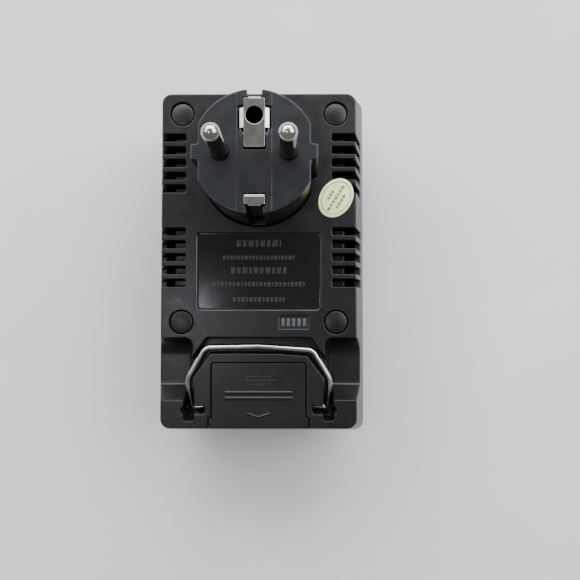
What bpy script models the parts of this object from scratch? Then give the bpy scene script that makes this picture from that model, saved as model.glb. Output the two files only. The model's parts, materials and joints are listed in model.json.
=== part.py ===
"""Plug-in voltage converter: a two-part plastic case with a European plug on its rear face,
a wire bail and a fuse drawer at the rear, and a transformer and an outlet inside.

Metres, +Z up. The case lies on its front face: Z = 0 is the front face, +Z is the direction
in which the plug points, +Y is the top of the case and the origin is below its middle.
"""
import math

import bmesh
import bpy
from mathutils import Matrix, Vector

# ---------------------------------------------------------------- driving dimensions
GAP = 0.0003                    # clearance between pieces that meet

FACE_Z = 0.050                  # rear face
PART_Z = 0.033                  # middle of the parting line
FACE_HALF_X = 0.0304            # rear face, half width and half height
FACE_HALF_Y = 0.0522
WALL_SLOPE = 0.244              # how far the side walls spread for each metre below the rear face
FRONT_HALF_X = 0.0339           # front face, half width and half height
FRONT_HALF_Y = 0.0557
CORNER = 0.0030                 # upright corners of the case
RIM = 0.0005                    # rounding of the rear face's rim
FRONT_RIM = 0.0022              # rounding of the front face's rim
WALL = 0.0022
FACE_THICK = 0.0025
ABOVE = FACE_Z + 0.002          # where cutters of the rear face end
TONGUE = 0.0011                 # share of the wall taken by the tongue of the parting line
TONGUE_HIGH = 0.0014

SCREW_X = 0.0240                # the four case screws, seen from the rear
SCREW_TOP_Y = 0.0457
SCREW_LOW_Y = -0.0194
BOSS_RADIUS = 0.0046
FRONT_BOSS_RADIUS = 0.0043
CAP_RECESS_RADIUS = 0.00375
CAP_RECESS_DEEP = 0.0014
CAP_RADIUS = 0.0034
CAP_STEM_RADIUS = 0.0028
CAP_LOW_Z = 0.0450
SCREW_SEAT_Z = 0.0380
SCREW_HEAD_RADIUS = 0.0029
SCREW_RADIUS = 0.0015
SCREW_TIP_Z = 0.0140
PILOT_RADIUS = 0.0018

VENT_PITCH = 0.0040
VENT_HIGH = 0.00245
VENT_COUNT = 5
VENT_TOPS = (0.0395, 0.0100)    # top edge of the first slot of the upper and the lower group
VENT_INNER_X = 0.02275
VENT_LEDGE_X = 0.0271           # inboard of this the slots have a floor
VENT_LEDGE_DEEP = 0.0054
VENT_WALL_DEEP = 0.0105         # how far down the side wall the slots run
LEDGE_THICK = 0.0013

PANEL_HALF_X = 0.0194           # sunk panel for a warning text
PANEL_Y = (-0.0158, 0.0086)
PANEL_DEEP = 0.00035
NUMBER_X = (0.0061, 0.0156)     # sunk window for a number
NUMBER_Y = (-0.0217, -0.0172)
NUMBER_DEEP = 0.0004

PLUG_Y = 0.0281                 # plug centre
PLUG_RADIUS = 0.01745
PLUG_FLAT_X = 0.0156
PLUG_EAR_X = 0.0176
PLUG_EAR_HALF_Y = 0.0022
PLUG_TOP_Z = 0.0694
PLUG_FLANGE_RADIUS = 0.0196
PLUG_FLANGE_LOW_Z = 0.0444
PIN_X = 0.0095
PIN_RADIUS = 0.0024
PIN_LENGTH = 0.0175
PIN_DOME = 0.0014
PIN_TAIL_RADIUS = 0.0016
PIN_TAIL_Z = 0.0425

EARTH_Y = 0.0382                # hole that takes an earth pin
EARTH_RADIUS = 0.0025
CLIP_THICK = 0.0006
CLIP_TOP_Z = 0.0695             # upper surface of both earth clips
CLIP_HALF_X = 0.0031
CLIP_TOP_Y = (0.0297, 0.0429)   # plate of the upper clip
CLIP_LOW_Y = (0.0135, 0.0157)   # plate of the lower clip
CLIP_DIVE_Z = 0.0665            # where the inner ends of the plates stop
WING_HALF_X = 0.00435
WING_Y = (0.0347, 0.0404)
TAB_TOP_HALF_X = 0.0017         # tabs that lead over the rim
TAB_LOW_HALF_X = 0.0019
NOTCH_TOP_Y = 0.0437            # floor of the rim notches
NOTCH_LOW_Y = 0.0131
NOTCH_TOP_HALF_X = 0.00205
NOTCH_LOW_HALF_X = 0.00225
CLIP_FOOT_Z = 0.0520
SLEEVE_HALF_X = 0.0040          # bent contact sleeve under the upper clip
SLEEVE_LOW_Y = 0.0331
SLEEVE_TOP_Y = 0.0385
SLEEVE_THICK = 0.0005
SLEEVE_BEND = 0.0016
SLEEVE_FOOT_Z = 0.0560

DECK_TOP_Y = -0.0222            # thick deck round the bail and the fuse drawer
DECK_LOW_Z = 0.0388

CHANNEL_FLOOR_Z = 0.0464        # groove in which the bail lies
CHANNEL_OUTER = ((0.0158, -0.0241), (0.0170, -0.0246), (0.0235, -0.0343), (0.0235, -0.0420))
BLOCK_LEFT = ((-0.0205, -0.0378), (-0.0198, -0.0358), (-0.0153, -0.0296), (-0.0146, -0.0292))
BLOCK_TOP = ((-0.0060, -0.0291), (0.0060, -0.0292))
BLOCK_RIGHT = ((0.0146, -0.0299), (0.0153, -0.0304), (0.0198, -0.0362), (0.0205, -0.0378))
BLOCK_LOW_Y = -0.0600

SCOOP_INNER_X = 0.0203          # finger scoops beside the bail
SCOOP_INNER_LEAN = 0.26
SCOOP_PROFILE = ((-0.0243, 0.0495), (-0.0250, 0.0462), (-0.0263, 0.0437), (-0.0280, 0.0422),
                 (-0.0298, 0.0418), (-0.0392, 0.0418), (-0.0399, 0.0420), (-0.0404, 0.0426),
                 (-0.0434, 0.0500))

BAIL_PIVOT_Y = -0.0465
BAIL_PIVOT_Z = 0.0436
BAIL_RADIUS = 0.0009
BAIL_LEG_X = 0.0174             # inner end of the pivot legs
BAIL_ARM_X = 0.0216
BAIL_DIVE = (0.0220, -0.0398, 0.0476)     # where an arm starts down to its pivot
BAIL_BEND = (0.0222, -0.0372, 0.0478)
BAIL_CORNER_X = 0.0168
BAIL_CORNER_LEFT_Y = -0.0274    # the bar is a little bent: its right end lies lower
BAIL_CORNER_RIGHT_Y = -0.0282
BAIL_BAR_Y = -0.0270
BAIL_BAR_Z = 0.0485
BAIL_FOOT_BEND = 0.0012         # radii of its bends
BAIL_DIVE_BEND = 0.0020
BAIL_ARM_BEND = 0.0060
BAIL_CORNER_BEND = 0.0028
ARM_SLOT_X = (0.0200, 0.0232)   # slots that take the ends of the arms
ARM_SLOT_Y = (-0.0498, -0.0393)
ARM_SLOT_Z = 0.0420
LEG_SLOT_X = (0.0166, 0.0240)
LEG_SLOT_Y = (-0.0478, -0.0453)
LEG_SLOT_Z = 0.0423

DOOR_HALF_X = 0.0145
DOOR_STEP_HALF_X = 0.0154
DOOR_TOP_Y = -0.0321
DOOR_STEP_Y = -0.0490
DOOR_TOP_Z = 0.0498
DOOR_THICK = 0.0023
DOOR_CORNER = 0.0009
DOOR_SKIRT_Z = 0.0435
DOOR_SKIRT_Y = -0.0513          # inner side of the skirt
DOOR_RAIL_HIGH = 0.0010
RIB_YS = (-0.0412, -0.0429)     # grip ribs
RIB_HALF_X = 0.0104
RIB_HALF_Y = 0.00035
RIB_HIGH = 0.0003
ARROW = ((0.0, -0.0489), (0.0034, -0.0478), (0.0034, -0.0473), (0.0, -0.0484))

FUSE_Y = -0.0413
FUSE_Z = 0.0436
FUSE_HALF_LENGTH = 0.0100
FUSE_CAP_RADIUS = 0.0026
FUSE_CAP_LENGTH = 0.0030
FUSE_CLIP_RADIUS = 0.0031
GLASS_RADIUS = 0.0021
BAY_HALF_X = 0.0132
BAY_Y = (-0.0475, -0.0350)
BAY_FLOOR_Z = 0.0400
BEYOND_Y = -0.070               # where cutters of the drawer's way end

OUTLET_Y = 0.0330
OUTLET_HALF_X = 0.0160
OUTLET_HALF_Y = 0.0150
OUTLET_LOW_Z = 0.0004
OUTLET_DEEP_Z = 0.0150
OUTLET_CORNER = 0.0027
OUTLET_FLANGE = (0.0180, 0.0165, 0.0045)    # half width, half height and depth
BLADE_X = 0.00635
BLADE_Y = OUTLET_Y + 0.0030
BLADE_HALF_X = 0.0008
LIVE_HALF_Y = 0.0034
NEUTRAL_HALF_Y = 0.0041
OUTLET_EARTH_Y = OUTLET_Y - 0.0089
OUTLET_EARTH_RADIUS = 0.0025
CONTACT_LOW_Z = 0.0040

CORE_Y = -0.0080                # transformer, laminations stacked along X
CORE_HALF_X = 0.0140
CORE_HALF_Y = 0.0240
CORE_LOW_Z = 0.0030
CORE_HIGH_Z = 0.0370
CORE_LEG = 0.0080               # width of an outer leg and half width of the centre leg
COIL_HALF_X = 0.0186            # flanges of the bobbin
COIL_HALF_Y = 0.0156
BOBBIN_WALL = 0.0009
CLAMP_YS = {"low": CORE_Y - CORE_HALF_Y + 0.0035, "top": CORE_Y + CORE_HALF_Y - 0.0040}
CLAMP_HALF_Y = 0.0029
CLAMP_SHEET = 0.0008
CLAMP_FOOT_Z = 0.0050
CLAMP_FOOT_X = 0.0212
CLAMP_SCREW_X = 0.0186
STAND_RADIUS = 0.0026

LEAD_RADIUS = 0.0008

STICKER_X = 0.0240
STICKER_Y = 0.0192
STICKER_HALF_LONG = 0.0065
STICKER_HALF_SHORT = 0.0050
STICKER_LEAN = math.radians(57)

SCREW_PLACES = [(-SCREW_X, SCREW_TOP_Y), (SCREW_X, SCREW_TOP_Y),
                (-SCREW_X, SCREW_LOW_Y), (SCREW_X, SCREW_LOW_Y)]
CLAMP_SCREW_PLACES = [(side * CLAMP_SCREW_X, y) for y in CLAMP_YS.values() for side in (-1, 1)]

ROUND = 24                      # sides of a small round piece


# ---------------------------------------------------------------- collections and materials
def clear_scene():
    for obj in list(bpy.data.objects):
        bpy.data.objects.remove(obj, do_unlink=True)


def add_collection(name):
    collection = bpy.data.collections.new(name)
    bpy.context.scene.collection.children.link(collection)
    return collection


def make_material(name, colour, roughness, metallic=0.0, transmission=0.0):
    material = bpy.data.materials.new(name)
    material.use_nodes = True
    shader = material.node_tree.nodes["Principled BSDF"]
    shader.inputs["Base Color"].default_value = (*colour, 1.0)
    shader.inputs["Roughness"].default_value = roughness
    shader.inputs["Metallic"].default_value = metallic
    shader.inputs["Transmission Weight"].default_value = transmission
    material.diffuse_color = (*colour, 1.0)
    return material


clear_scene()
PARTS = add_collection("voltage_converter")
TOOLS = add_collection("cutters")

LOOKS = {
    "case_plastic": ((0.022, 0.023, 0.025), 0.38, 0.0),
    "plug_plastic": ((0.030, 0.032, 0.037), 0.42, 0.0),
    "nickel": ((0.62, 0.60, 0.56), 0.22, 1.0),
    "bail_steel": ((0.52, 0.49, 0.45), 0.24, 1.0),
    "screw_steel": ((0.45, 0.45, 0.46), 0.35, 1.0),
    "brass": ((0.72, 0.55, 0.28), 0.30, 1.0),
    "lamination": ((0.16, 0.17, 0.19), 0.50, 1.0),
    "copper_enamel": ((0.48, 0.20, 0.08), 0.35, 0.6),
    "bobbin_plastic": ((0.80, 0.78, 0.70), 0.50, 0.0),
    "tape": ((0.72, 0.60, 0.12), 0.45, 0.0),
    "glass": ((0.90, 0.92, 0.92), 0.08, 0.0, 0.9),
    "label_paper": ((0.76, 0.82, 0.52), 0.45, 0.0),
    "wire_red": ((0.50, 0.03, 0.03), 0.45, 0.0),
    "wire_white": ((0.75, 0.75, 0.72), 0.45, 0.0),
    "wire_green": ((0.10, 0.32, 0.08), 0.45, 0.0),
    "wire_black": ((0.03, 0.03, 0.03), 0.45, 0.0),
}


def own_material(node, look):
    """Each sub-part has a material of its own."""
    return make_material(node + "_" + look, *LOOKS[look])


# ---------------------------------------------------------------- building tools
def mesh_from(bm, name):
    mesh = bpy.data.meshes.new(name)
    bmesh.ops.recalc_face_normals(bm, faces=bm.faces)
    bm.to_mesh(mesh)
    bm.free()
    mesh.shade_smooth()
    mesh.set_sharp_from_angle(angle=math.radians(35))
    return mesh


def add_part(name, data, look):
    obj = bpy.data.objects.new(name, data)
    PARTS.objects.link(obj)
    obj.data.materials.append(own_material(name, look))
    return obj


def add_tool(name, data):
    obj = bpy.data.objects.new(name, data)
    TOOLS.objects.link(obj)
    obj.hide_render = True
    obj.display_type = "WIRE"
    return obj


def combine(target, operation, *others):
    for other in others:
        modifier = target.modifiers.new(other.name, "BOOLEAN")
        modifier.operation = operation
        modifier.solver = "EXACT"
        modifier.object = other


def cut(target, *others):
    combine(target, "DIFFERENCE", *others)


def join(target, *others):
    combine(target, "UNION", *others)


def box(name, low, high, corner=0.0, axis=2, segments=4):
    """A box between two corners; its edges along one axis may be rounded."""
    low, high = Vector(low), Vector(high)
    bm = bmesh.new()
    bmesh.ops.create_cube(bm, size=1.0)
    bmesh.ops.scale(bm, vec=high - low, verts=bm.verts)
    bmesh.ops.translate(bm, vec=(high + low) / 2, verts=bm.verts)
    if corner:
        edges = [e for e in bm.edges
                 if abs((e.verts[0].co - e.verts[1].co).normalized()[axis]) > 0.99]
        bmesh.ops.bevel(bm, geom=edges, offset=corner, segments=segments, profile=0.5, affect="EDGES")
    return mesh_from(bm, name)


def box_tool(name, low, high, corner=0.0, axis=2, segments=4):
    return add_tool(name, box(name, low, high, corner, axis, segments))


def case_solid(name, low, high, corner, rounded_z=None, rounding=0.0):
    """A rounded block whose half width and half height change from low to high.

    low and high are (z, half_x, half_y). The rim at rounded_z can be rounded over.
    """
    bm = bmesh.new()
    bmesh.ops.create_cube(bm, size=2.0)
    bmesh.ops.scale(bm, vec=(high[1], high[2], (high[0] - low[0]) / 2), verts=bm.verts)
    bmesh.ops.translate(bm, vec=(0, 0, (high[0] + low[0]) / 2), verts=bm.verts)
    upright = [e for e in bm.edges if abs(e.verts[0].co.z - e.verts[1].co.z) > 1e-5]
    bmesh.ops.bevel(bm, geom=upright, offset=corner, segments=5, profile=0.5, affect="EDGES")
    for vert in bm.verts:
        if abs(vert.co.z - low[0]) < 1e-6:
            vert.co.x *= low[1] / high[1]
            vert.co.y *= low[2] / high[2]
    if rounding:
        rim = [e for e in bm.edges if all(abs(v.co.z - rounded_z) < 1e-6 for v in e.verts)]
        bmesh.ops.bevel(bm, geom=rim, offset=rounding, segments=2, profile=0.5, affect="EDGES")
    return mesh_from(bm, name)


def cylinder(name, radius, start, end, segments=ROUND, end_radius=None):
    """A cylinder or cone between two points."""
    start, end = Vector(start), Vector(end)
    bm = bmesh.new()
    bmesh.ops.create_cone(bm, cap_ends=True, segments=segments, radius1=radius,
                          radius2=radius if end_radius is None else end_radius,
                          depth=(end - start).length)
    turn = Vector((0, 0, 1)).rotation_difference(end - start).to_matrix().to_4x4()
    bmesh.ops.transform(bm, matrix=Matrix.Translation((start + end) / 2) @ turn, verts=bm.verts)
    return mesh_from(bm, name)


def cylinder_tool(name, radius, start, end, segments=ROUND):
    return add_tool(name, cylinder(name, radius, start, end, segments))


def turned(name, profile, look, centre, segments=ROUND):
    """A turned piece about an upright axis; the profile runs from top to bottom outside."""
    mesh = bpy.data.meshes.new(name)
    edges = [(i, i + 1) for i in range(len(profile) - 1)]
    mesh.from_pydata([(radius, 0, z) for radius, z in profile], edges, [])
    obj = add_part(name, mesh, look)
    obj.location = (centre[0], centre[1], 0)
    screw = obj.modifiers.new("turn", "SCREW")
    screw.steps = screw.render_steps = segments
    screw.use_merge_vertices = True
    screw.merge_threshold = 0.00001
    screw.use_smooth_shade = True
    return obj


def dome(radius, top_z, height, steps=3):
    """Profile points of a shallow dome, from its top on the axis to its rim."""
    curve = (radius * radius + height * height) / (2 * height)
    points = []
    for i in range(steps + 1):
        r = radius * i / steps
        points.append((r, top_z - curve + math.sqrt(curve * curve - r * r)))
    return points


def prism(name, outline, low, high, axis="Z"):
    """A flat outline made solid between two places along one axis.

    The outline is in (x, y) for Z, in (y, z) for X and in (z, x) for Y.
    """
    curve = bpy.data.curves.new(name, "CURVE")
    curve.dimensions = "2D"
    curve.fill_mode = "BOTH"
    curve.extrude = (high - low) / 2
    spline = curve.splines.new("POLY")
    spline.points.add(len(outline) - 1)
    for point, (a, b) in zip(spline.points, outline):
        point.co = (a, b, 0, 1)
    spline.use_cyclic_u = True
    holder = bpy.data.objects.new(name, curve)
    TOOLS.objects.link(holder)
    flat = bpy.data.meshes.new_from_object(holder.evaluated_get(bpy.context.evaluated_depsgraph_get()))
    bpy.data.objects.remove(holder)
    bm = bmesh.new()
    bm.from_mesh(flat)
    bmesh.ops.remove_doubles(bm, verts=bm.verts, dist=0.000001)
    bmesh.ops.translate(bm, vec=(0, 0, (high + low) / 2), verts=bm.verts)
    turns = {"Z": ((1, 0, 0), (0, 1, 0), (0, 0, 1)),
             "X": ((0, 0, 1), (1, 0, 0), (0, 1, 0)),
             "Y": ((0, 1, 0), (0, 0, 1), (1, 0, 0))}
    bmesh.ops.transform(bm, matrix=Matrix(turns[axis]).to_4x4(), verts=bm.verts)
    return mesh_from(bm, name)


def prism_tool(name, outline, low, high, axis="Z"):
    return add_tool(name, prism(name, outline, low, high, axis))


def mirrored(points):
    """An outline that is symmetric about x = 0, from its half at x > 0."""
    return list(points) + [(-x, y) for x, y in reversed(points) if x]


def rounded_path(points, radius, steps=4):
    """A polyline in space with its inner corners turned into arcs, of one radius or one each."""
    points = [Vector(p) for p in points]
    radii = [radius] * len(points) if isinstance(radius, float) else radius
    path = [points[0]]
    for before, here, after, radius in zip(points, points[1:], points[2:], radii):
        to_before = (before - here).normalized()
        to_after = (after - here).normalized()
        half = to_before.angle(to_after) / 2
        reach = radius / math.tan(half)
        centre = here + (to_before + to_after).normalized() * radius / math.sin(half)
        start = here + to_before * reach - centre
        end = here + to_after * reach - centre
        for i in range(steps + 1):
            path.append(centre + start.slerp(end, i / steps).normalized() * radius)
    path.append(points[-1])
    return path


def strip_outline(path, thickness):
    """The outline of a bent strip that follows a flat path, half its thickness each side."""
    left, right = [], []
    for i, (a, b) in enumerate(path):
        before = Vector(path[max(i - 1, 0)])
        after = Vector(path[min(i + 1, len(path) - 1)])
        along = (after - before).normalized()
        side = Vector((-along.y, along.x)) * thickness / 2
        left.append((a + side.x, b + side.y))
        right.append((a - side.x, b - side.y))
    return left + right[::-1]


def rounded_flat_path(points, radius, steps=4):
    return [(p.x, p.y) for p in rounded_path([(a, b, 0) for a, b in points], radius, steps)]


def wire(name, points, radius, look, origin=(0, 0, 0), resolution=1):
    """A round wire with filled ends."""
    curve = bpy.data.curves.new(name, "CURVE")
    curve.dimensions = "3D"
    curve.bevel_depth = radius
    curve.bevel_resolution = resolution
    curve.use_fill_caps = True
    spline = curve.splines.new("POLY")
    spline.points.add(len(points) - 1)
    for point, place in zip(spline.points, points):
        point.co = (*(Vector(place) - Vector(origin)), 1)
    obj = add_part(name, curve, look)
    obj.location = origin
    return obj


def smooth_route(points, steps=4):
    """A smooth curve through a few route points."""
    points = [Vector(p) for p in points]
    padded = [2 * points[0] - points[1]] + points + [2 * points[-1] - points[-2]]
    route = []
    for a, b, c, d in zip(padded, padded[1:], padded[2:], padded[3:]):
        for i in range(steps):
            t = i / steps
            route.append(0.5 * (2 * b + (c - a) * t + (2 * a - 5 * b + 4 * c - d) * t * t
                                + (3 * b - a - 3 * c + d) * t ** 3))
    route.append(points[-1])
    return route


def wall_half(z, face_half):
    """Half width of the sloping wall's outside at a height."""
    return face_half + WALL_SLOPE * (FACE_Z - z)


def wall_level(z, inset=0.0):
    return (z, wall_half(z, FACE_HALF_X) - inset, wall_half(z, FACE_HALF_Y) - inset)


# ---------------------------------------------------------------- plug outline, shared by plug and case
def plug_outline(name, grow, low_z, high_z):
    """The plug's round body with two flats and two ears, grown all round by a clearance."""
    half_y = PLUG_EAR_HALF_Y + grow
    body = cylinder_tool(name, PLUG_RADIUS + grow, (0, PLUG_Y, low_z), (0, PLUG_Y, high_z), 56)
    flats = box_tool(name + "_flats", (-PLUG_FLAT_X - grow, PLUG_Y - 0.03, low_z - 0.001),
                     (PLUG_FLAT_X + grow, PLUG_Y + 0.03, high_z + 0.001))
    ears = box_tool(name + "_ears", (-PLUG_EAR_X - grow, PLUG_Y - half_y, low_z),
                    (PLUG_EAR_X + grow, PLUG_Y + half_y, high_z))
    combine(body, "INTERSECT", flats)
    join(body, ears)
    return body


# ---------------------------------------------------------------- rear shell
def vent_slots(side):
    """Slots of one side: open through the wall, with a floor on the inboard ledge."""
    out_x = 0.040
    low_z = FACE_Z - VENT_WALL_DEEP
    ledge_z = FACE_Z - VENT_LEDGE_DEEP
    outline = [(ABOVE, side * VENT_INNER_X), (ledge_z, side * VENT_INNER_X), (ledge_z, side * VENT_LEDGE_X),
               (low_z, side * VENT_LEDGE_X), (low_z, side * out_x), (ABOVE, side * out_x)]
    tools = []
    for group, top in enumerate(VENT_TOPS):
        for i in range(VENT_COUNT):
            high_y = top - i * VENT_PITCH
            tools.append(prism_tool(f"vent_{side:+d}_{group}_{i}", outline, high_y - VENT_HIGH, high_y, "Y"))
    return tools


def shell_cavity():
    """Space inside the rear shell; the bosses, vent ledges and the deck are left standing in it."""
    low_z = PART_Z - 0.001
    inside_z = FACE_Z - 0.001       # inside the face, so that what stays is joined to it
    cavity = add_tool("rear_cavity", case_solid("rear_cavity", wall_level(low_z, WALL),
                                                wall_level(FACE_Z - FACE_THICK, WALL), CORNER - WALL))
    cut(cavity, box_tool("rear_deck", (-0.040, -0.060, DECK_LOW_Z), (0.040, DECK_TOP_Y, inside_z)))
    for i, (x, y) in enumerate(SCREW_PLACES):
        cut(cavity, cylinder_tool(f"rear_boss_{i}", BOSS_RADIUS, (x, y, low_z - 0.0005),
                                  (x, y, inside_z), 16))
    for side in (-1, 1):
        for group, top in enumerate(VENT_TOPS):
            ends = sorted((side * (VENT_INNER_X - LEDGE_THICK), side * (VENT_LEDGE_X + 0.0006)))
            cut(cavity, box_tool(f"vent_ledge_{side:+d}_{group}",
                                 (ends[0], top - VENT_COUNT * VENT_PITCH,
                                  FACE_Z - VENT_LEDGE_DEEP - LEDGE_THICK),
                                 (ends[1], top + 0.0012, inside_z)))
    return cavity


def bail_channel():
    """Groove round the fuse block in which the bail lies."""
    inner = [(BLOCK_LEFT[0][0], BLOCK_LOW_Y), *BLOCK_LEFT, *BLOCK_TOP, *BLOCK_RIGHT,
             (BLOCK_RIGHT[-1][0], BLOCK_LOW_Y)]
    groove = prism_tool("bail_channel", mirrored(CHANNEL_OUTER), CHANNEL_FLOOR_Z, ABOVE)
    cut(groove, prism_tool("fuse_block", inner[::-1], CHANNEL_FLOOR_Z - 0.001, ABOVE + 0.001))
    return groove


def pivot_slots(side):
    """Cross-shaped pocket: a slot for the end of an arm and one for the leg that turns."""
    upright = sorted(side * x for x in ARM_SLOT_X)
    across = sorted(side * x for x in LEG_SLOT_X)
    return [box_tool(f"arm_slot_{side:+d}", (upright[0], ARM_SLOT_Y[0], ARM_SLOT_Z),
                     (upright[1], ARM_SLOT_Y[1], ABOVE), 0.0006, 2, 2),
            box_tool(f"leg_slot_{side:+d}", (across[0], LEG_SLOT_Y[0], LEG_SLOT_Z),
                     (across[1], LEG_SLOT_Y[1], ABOVE), 0.0009, 2, 3)]


def finger_scoop(side):
    """Scoop in a side of the deck, with a steep curved upper end and a ramp at its lower end."""
    outline = [(SCOOP_PROFILE[0][0] + 0.0001, ABOVE), *SCOOP_PROFILE, (SCOOP_PROFILE[-1][0] - 0.0008, ABOVE)]
    name = f"finger_scoop_{side:+d}"
    ends = sorted((side * SCOOP_INNER_X, side * 0.045))
    mesh = prism(name, outline, ends[0], ends[1], "X")
    for vert in mesh.vertices:
        if abs(vert.co.x) < 0.03:
            vert.co.x = side * (SCOOP_INNER_X + (FACE_Z - vert.co.z) * SCOOP_INNER_LEAN)
    return add_tool(name, mesh)


def door_outline(grow, low_y):
    """The drawer's plate from above, with its two upper corners rounded."""
    half_x = DOOR_HALF_X + grow
    top_y = DOOR_TOP_Y + grow
    upper = rounded_flat_path([(-half_x, low_y), (-half_x, top_y), (half_x, top_y), (half_x, low_y)],
                              DOOR_CORNER + grow, 3)
    return upper[::-1]


def fuse_bay():
    """Opening of the drawer with its side grooves, the skirt pocket and the space for the fuse."""
    step = DOOR_STEP_HALF_X + GAP
    plate_z = DOOR_TOP_Z - DOOR_THICK - GAP
    groove_z = plate_z + DOOR_RAIL_HIGH + 2 * GAP
    corners = {
        "drawer_step": ((-step, BEYOND_Y, plate_z), (step, DOOR_STEP_Y + GAP, ABOVE)),
        "drawer_grooves": ((-step, BEYOND_Y, plate_z), (step, DOOR_TOP_Y - 0.001, groove_z)),
        "drawer_skirt": ((-step, BEYOND_Y, DOOR_SKIRT_Z - GAP), (step, DOOR_SKIRT_Y + GAP, groove_z)),
        "fuse_space": ((-BAY_HALF_X, BAY_Y[0], BAY_FLOOR_Z), (BAY_HALF_X, BAY_Y[1], groove_z)),
    }
    opening = prism_tool("drawer_opening", door_outline(GAP, BEYOND_Y), plate_z, ABOVE)
    return [opening] + [box_tool(name, *ends) for name, ends in corners.items()]


def screw_bores():
    tools = []
    sizes = (("cap", CAP_RECESS_RADIUS, FACE_Z - CAP_RECESS_DEEP),
             ("head", SCREW_HEAD_RADIUS + GAP, SCREW_SEAT_Z),
             ("shaft", SCREW_RADIUS + GAP, PART_Z - 0.002))
    for i, (x, y) in enumerate(SCREW_PLACES):
        for kind, radius, low_z in sizes:
            tools.append(cylinder_tool(f"{kind}_bore_{i}", radius, (x, y, low_z), (x, y, ABOVE), 20))
    return tools


def rear_shell():
    shell = add_part("rear_shell", case_solid("rear_shell", wall_level(PART_Z + GAP / 2), wall_level(FACE_Z),
                                              CORNER, FACE_Z, RIM), "case_plastic")
    rebate = add_tool("rear_rebate", case_solid("rear_rebate", wall_level(PART_Z - 0.0015, TONGUE),
                                                wall_level(PART_Z + TONGUE_HIGH + GAP, TONGUE),
                                                CORNER - TONGUE))
    panel = box_tool("text_panel", (-PANEL_HALF_X, PANEL_Y[0], FACE_Z - PANEL_DEEP),
                     (PANEL_HALF_X, PANEL_Y[1], ABOVE), 0.0010, 2, 3)
    number = box_tool("number_recess", (NUMBER_X[0], NUMBER_Y[0], FACE_Z - NUMBER_DEEP),
                      (NUMBER_X[1], NUMBER_Y[1], ABOVE))
    cut(shell, shell_cavity(), rebate, plug_outline("plug_opening", GAP, PLUG_FLANGE_LOW_Z + 0.0016, ABOVE),
        panel, number, bail_channel())
    cut(shell, *fuse_bay())
    for side in (-1, 1):
        cut(shell, finger_scoop(side), *pivot_slots(side), *vent_slots(side))
    cut(shell, *screw_bores())


# ---------------------------------------------------------------- front shell
def front_shell():
    top_z = PART_Z - GAP / 2
    floor_z = FACE_THICK - 0.0015       # inside the face, so that what stays is joined to it
    shell = add_part("front_shell", case_solid("front_shell", (0.0, FRONT_HALF_X, FRONT_HALF_Y),
                                               wall_level(top_z), CORNER + 0.001, 0.0, FRONT_RIM),
                     "case_plastic")
    cavity = add_tool("front_cavity", case_solid(
        "front_cavity", (FACE_THICK, FRONT_HALF_X - WALL, FRONT_HALF_Y - WALL),
        wall_level(PART_Z + 0.002, WALL), CORNER - WALL))
    for i, (x, y) in enumerate(SCREW_PLACES):
        cut(cavity, cylinder_tool(f"front_boss_{i}", FRONT_BOSS_RADIUS, (x, y, floor_z), (x, y, top_z), 16))
    for i, (x, y) in enumerate(CLAMP_SCREW_PLACES):
        cut(cavity, cylinder_tool(f"clamp_stand_{i}", STAND_RADIUS, (x, y, floor_z),
                                  (x, y, CLAMP_FOOT_Z - GAP), 20))
    tongue = add_tool("front_tongue", case_solid(
        "front_tongue", wall_level(PART_Z - 0.002, TONGUE + GAP),
        wall_level(PART_Z + TONGUE_HIGH, TONGUE + GAP), CORNER - TONGUE - GAP))
    opening = box_tool("outlet_opening", (-OUTLET_HALF_X - GAP, OUTLET_Y - OUTLET_HALF_Y - GAP, -0.001),
                       (OUTLET_HALF_X + GAP, OUTLET_Y + OUTLET_HALF_Y + GAP, FACE_THICK + 0.0015),
                       OUTLET_CORNER + GAP)
    join(shell, tongue)
    cut(shell, cavity, opening)
    for i, (x, y) in enumerate(SCREW_PLACES):
        cut(shell, cylinder_tool(f"pilot_{i}", PILOT_RADIUS, (x, y, SCREW_TIP_Z - 0.002), (x, y, 0.040), 20))
    for i, (x, y) in enumerate(CLAMP_SCREW_PLACES):
        cut(shell, cylinder_tool(f"clamp_pilot_{i}", 0.0012, (x, y, 0.0015), (x, y, 0.0100), 16))


# ---------------------------------------------------------------- case screws and their caps
def case_fasteners():
    cap_seat_z = FACE_Z - CAP_RECESS_DEEP + GAP
    head_low = SCREW_SEAT_Z + GAP
    head_top = head_low + 0.0022
    for i, (x, y) in enumerate(SCREW_PLACES, 1):
        turned(f"screw_cap_{i}", dome(CAP_RADIUS, FACE_Z - 0.0001, 0.0005) + [
            (CAP_RADIUS, cap_seat_z), (CAP_STEM_RADIUS, cap_seat_z), (CAP_STEM_RADIUS, CAP_LOW_Z),
            (0.0, CAP_LOW_Z)], "case_plastic", (x, y))
        screw = turned(f"case_screw_{i}", [
            (0.0, head_top), (0.0020, head_top - 0.0001), (SCREW_HEAD_RADIUS, head_top - 0.0009),
            (SCREW_HEAD_RADIUS, head_low), (SCREW_RADIUS, head_low), (SCREW_RADIUS, SCREW_TIP_Z + 0.002),
            (0.0, SCREW_TIP_Z)], "screw_steel", (x, y), 16)
        for part, (half_x, half_y) in enumerate(((0.0017, 0.0004), (0.0004, 0.0017))):
            cut(screw, box_tool(f"driver_slot_{i}_{part}", (x - half_x, y - half_y, head_top - 0.0012),
                                (x + half_x, y + half_y, head_top + 0.001)))


# ---------------------------------------------------------------- plug
def clip_wing_outline(grow):
    """Plate of the upper earth clip, seen from above: a strip with two wings beside its hole."""
    slant = 0.0002
    low, high = WING_Y[0] - grow, WING_Y[1] + grow
    return mirrored([(CLIP_HALF_X + grow, CLIP_TOP_Y[0] - grow), (CLIP_HALF_X + grow, low - slant),
                     (WING_HALF_X + grow, low), (WING_HALF_X + grow, high),
                     (CLIP_HALF_X + grow, high + slant), (CLIP_HALF_X + grow, CLIP_TOP_Y[1] + grow)])


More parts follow.
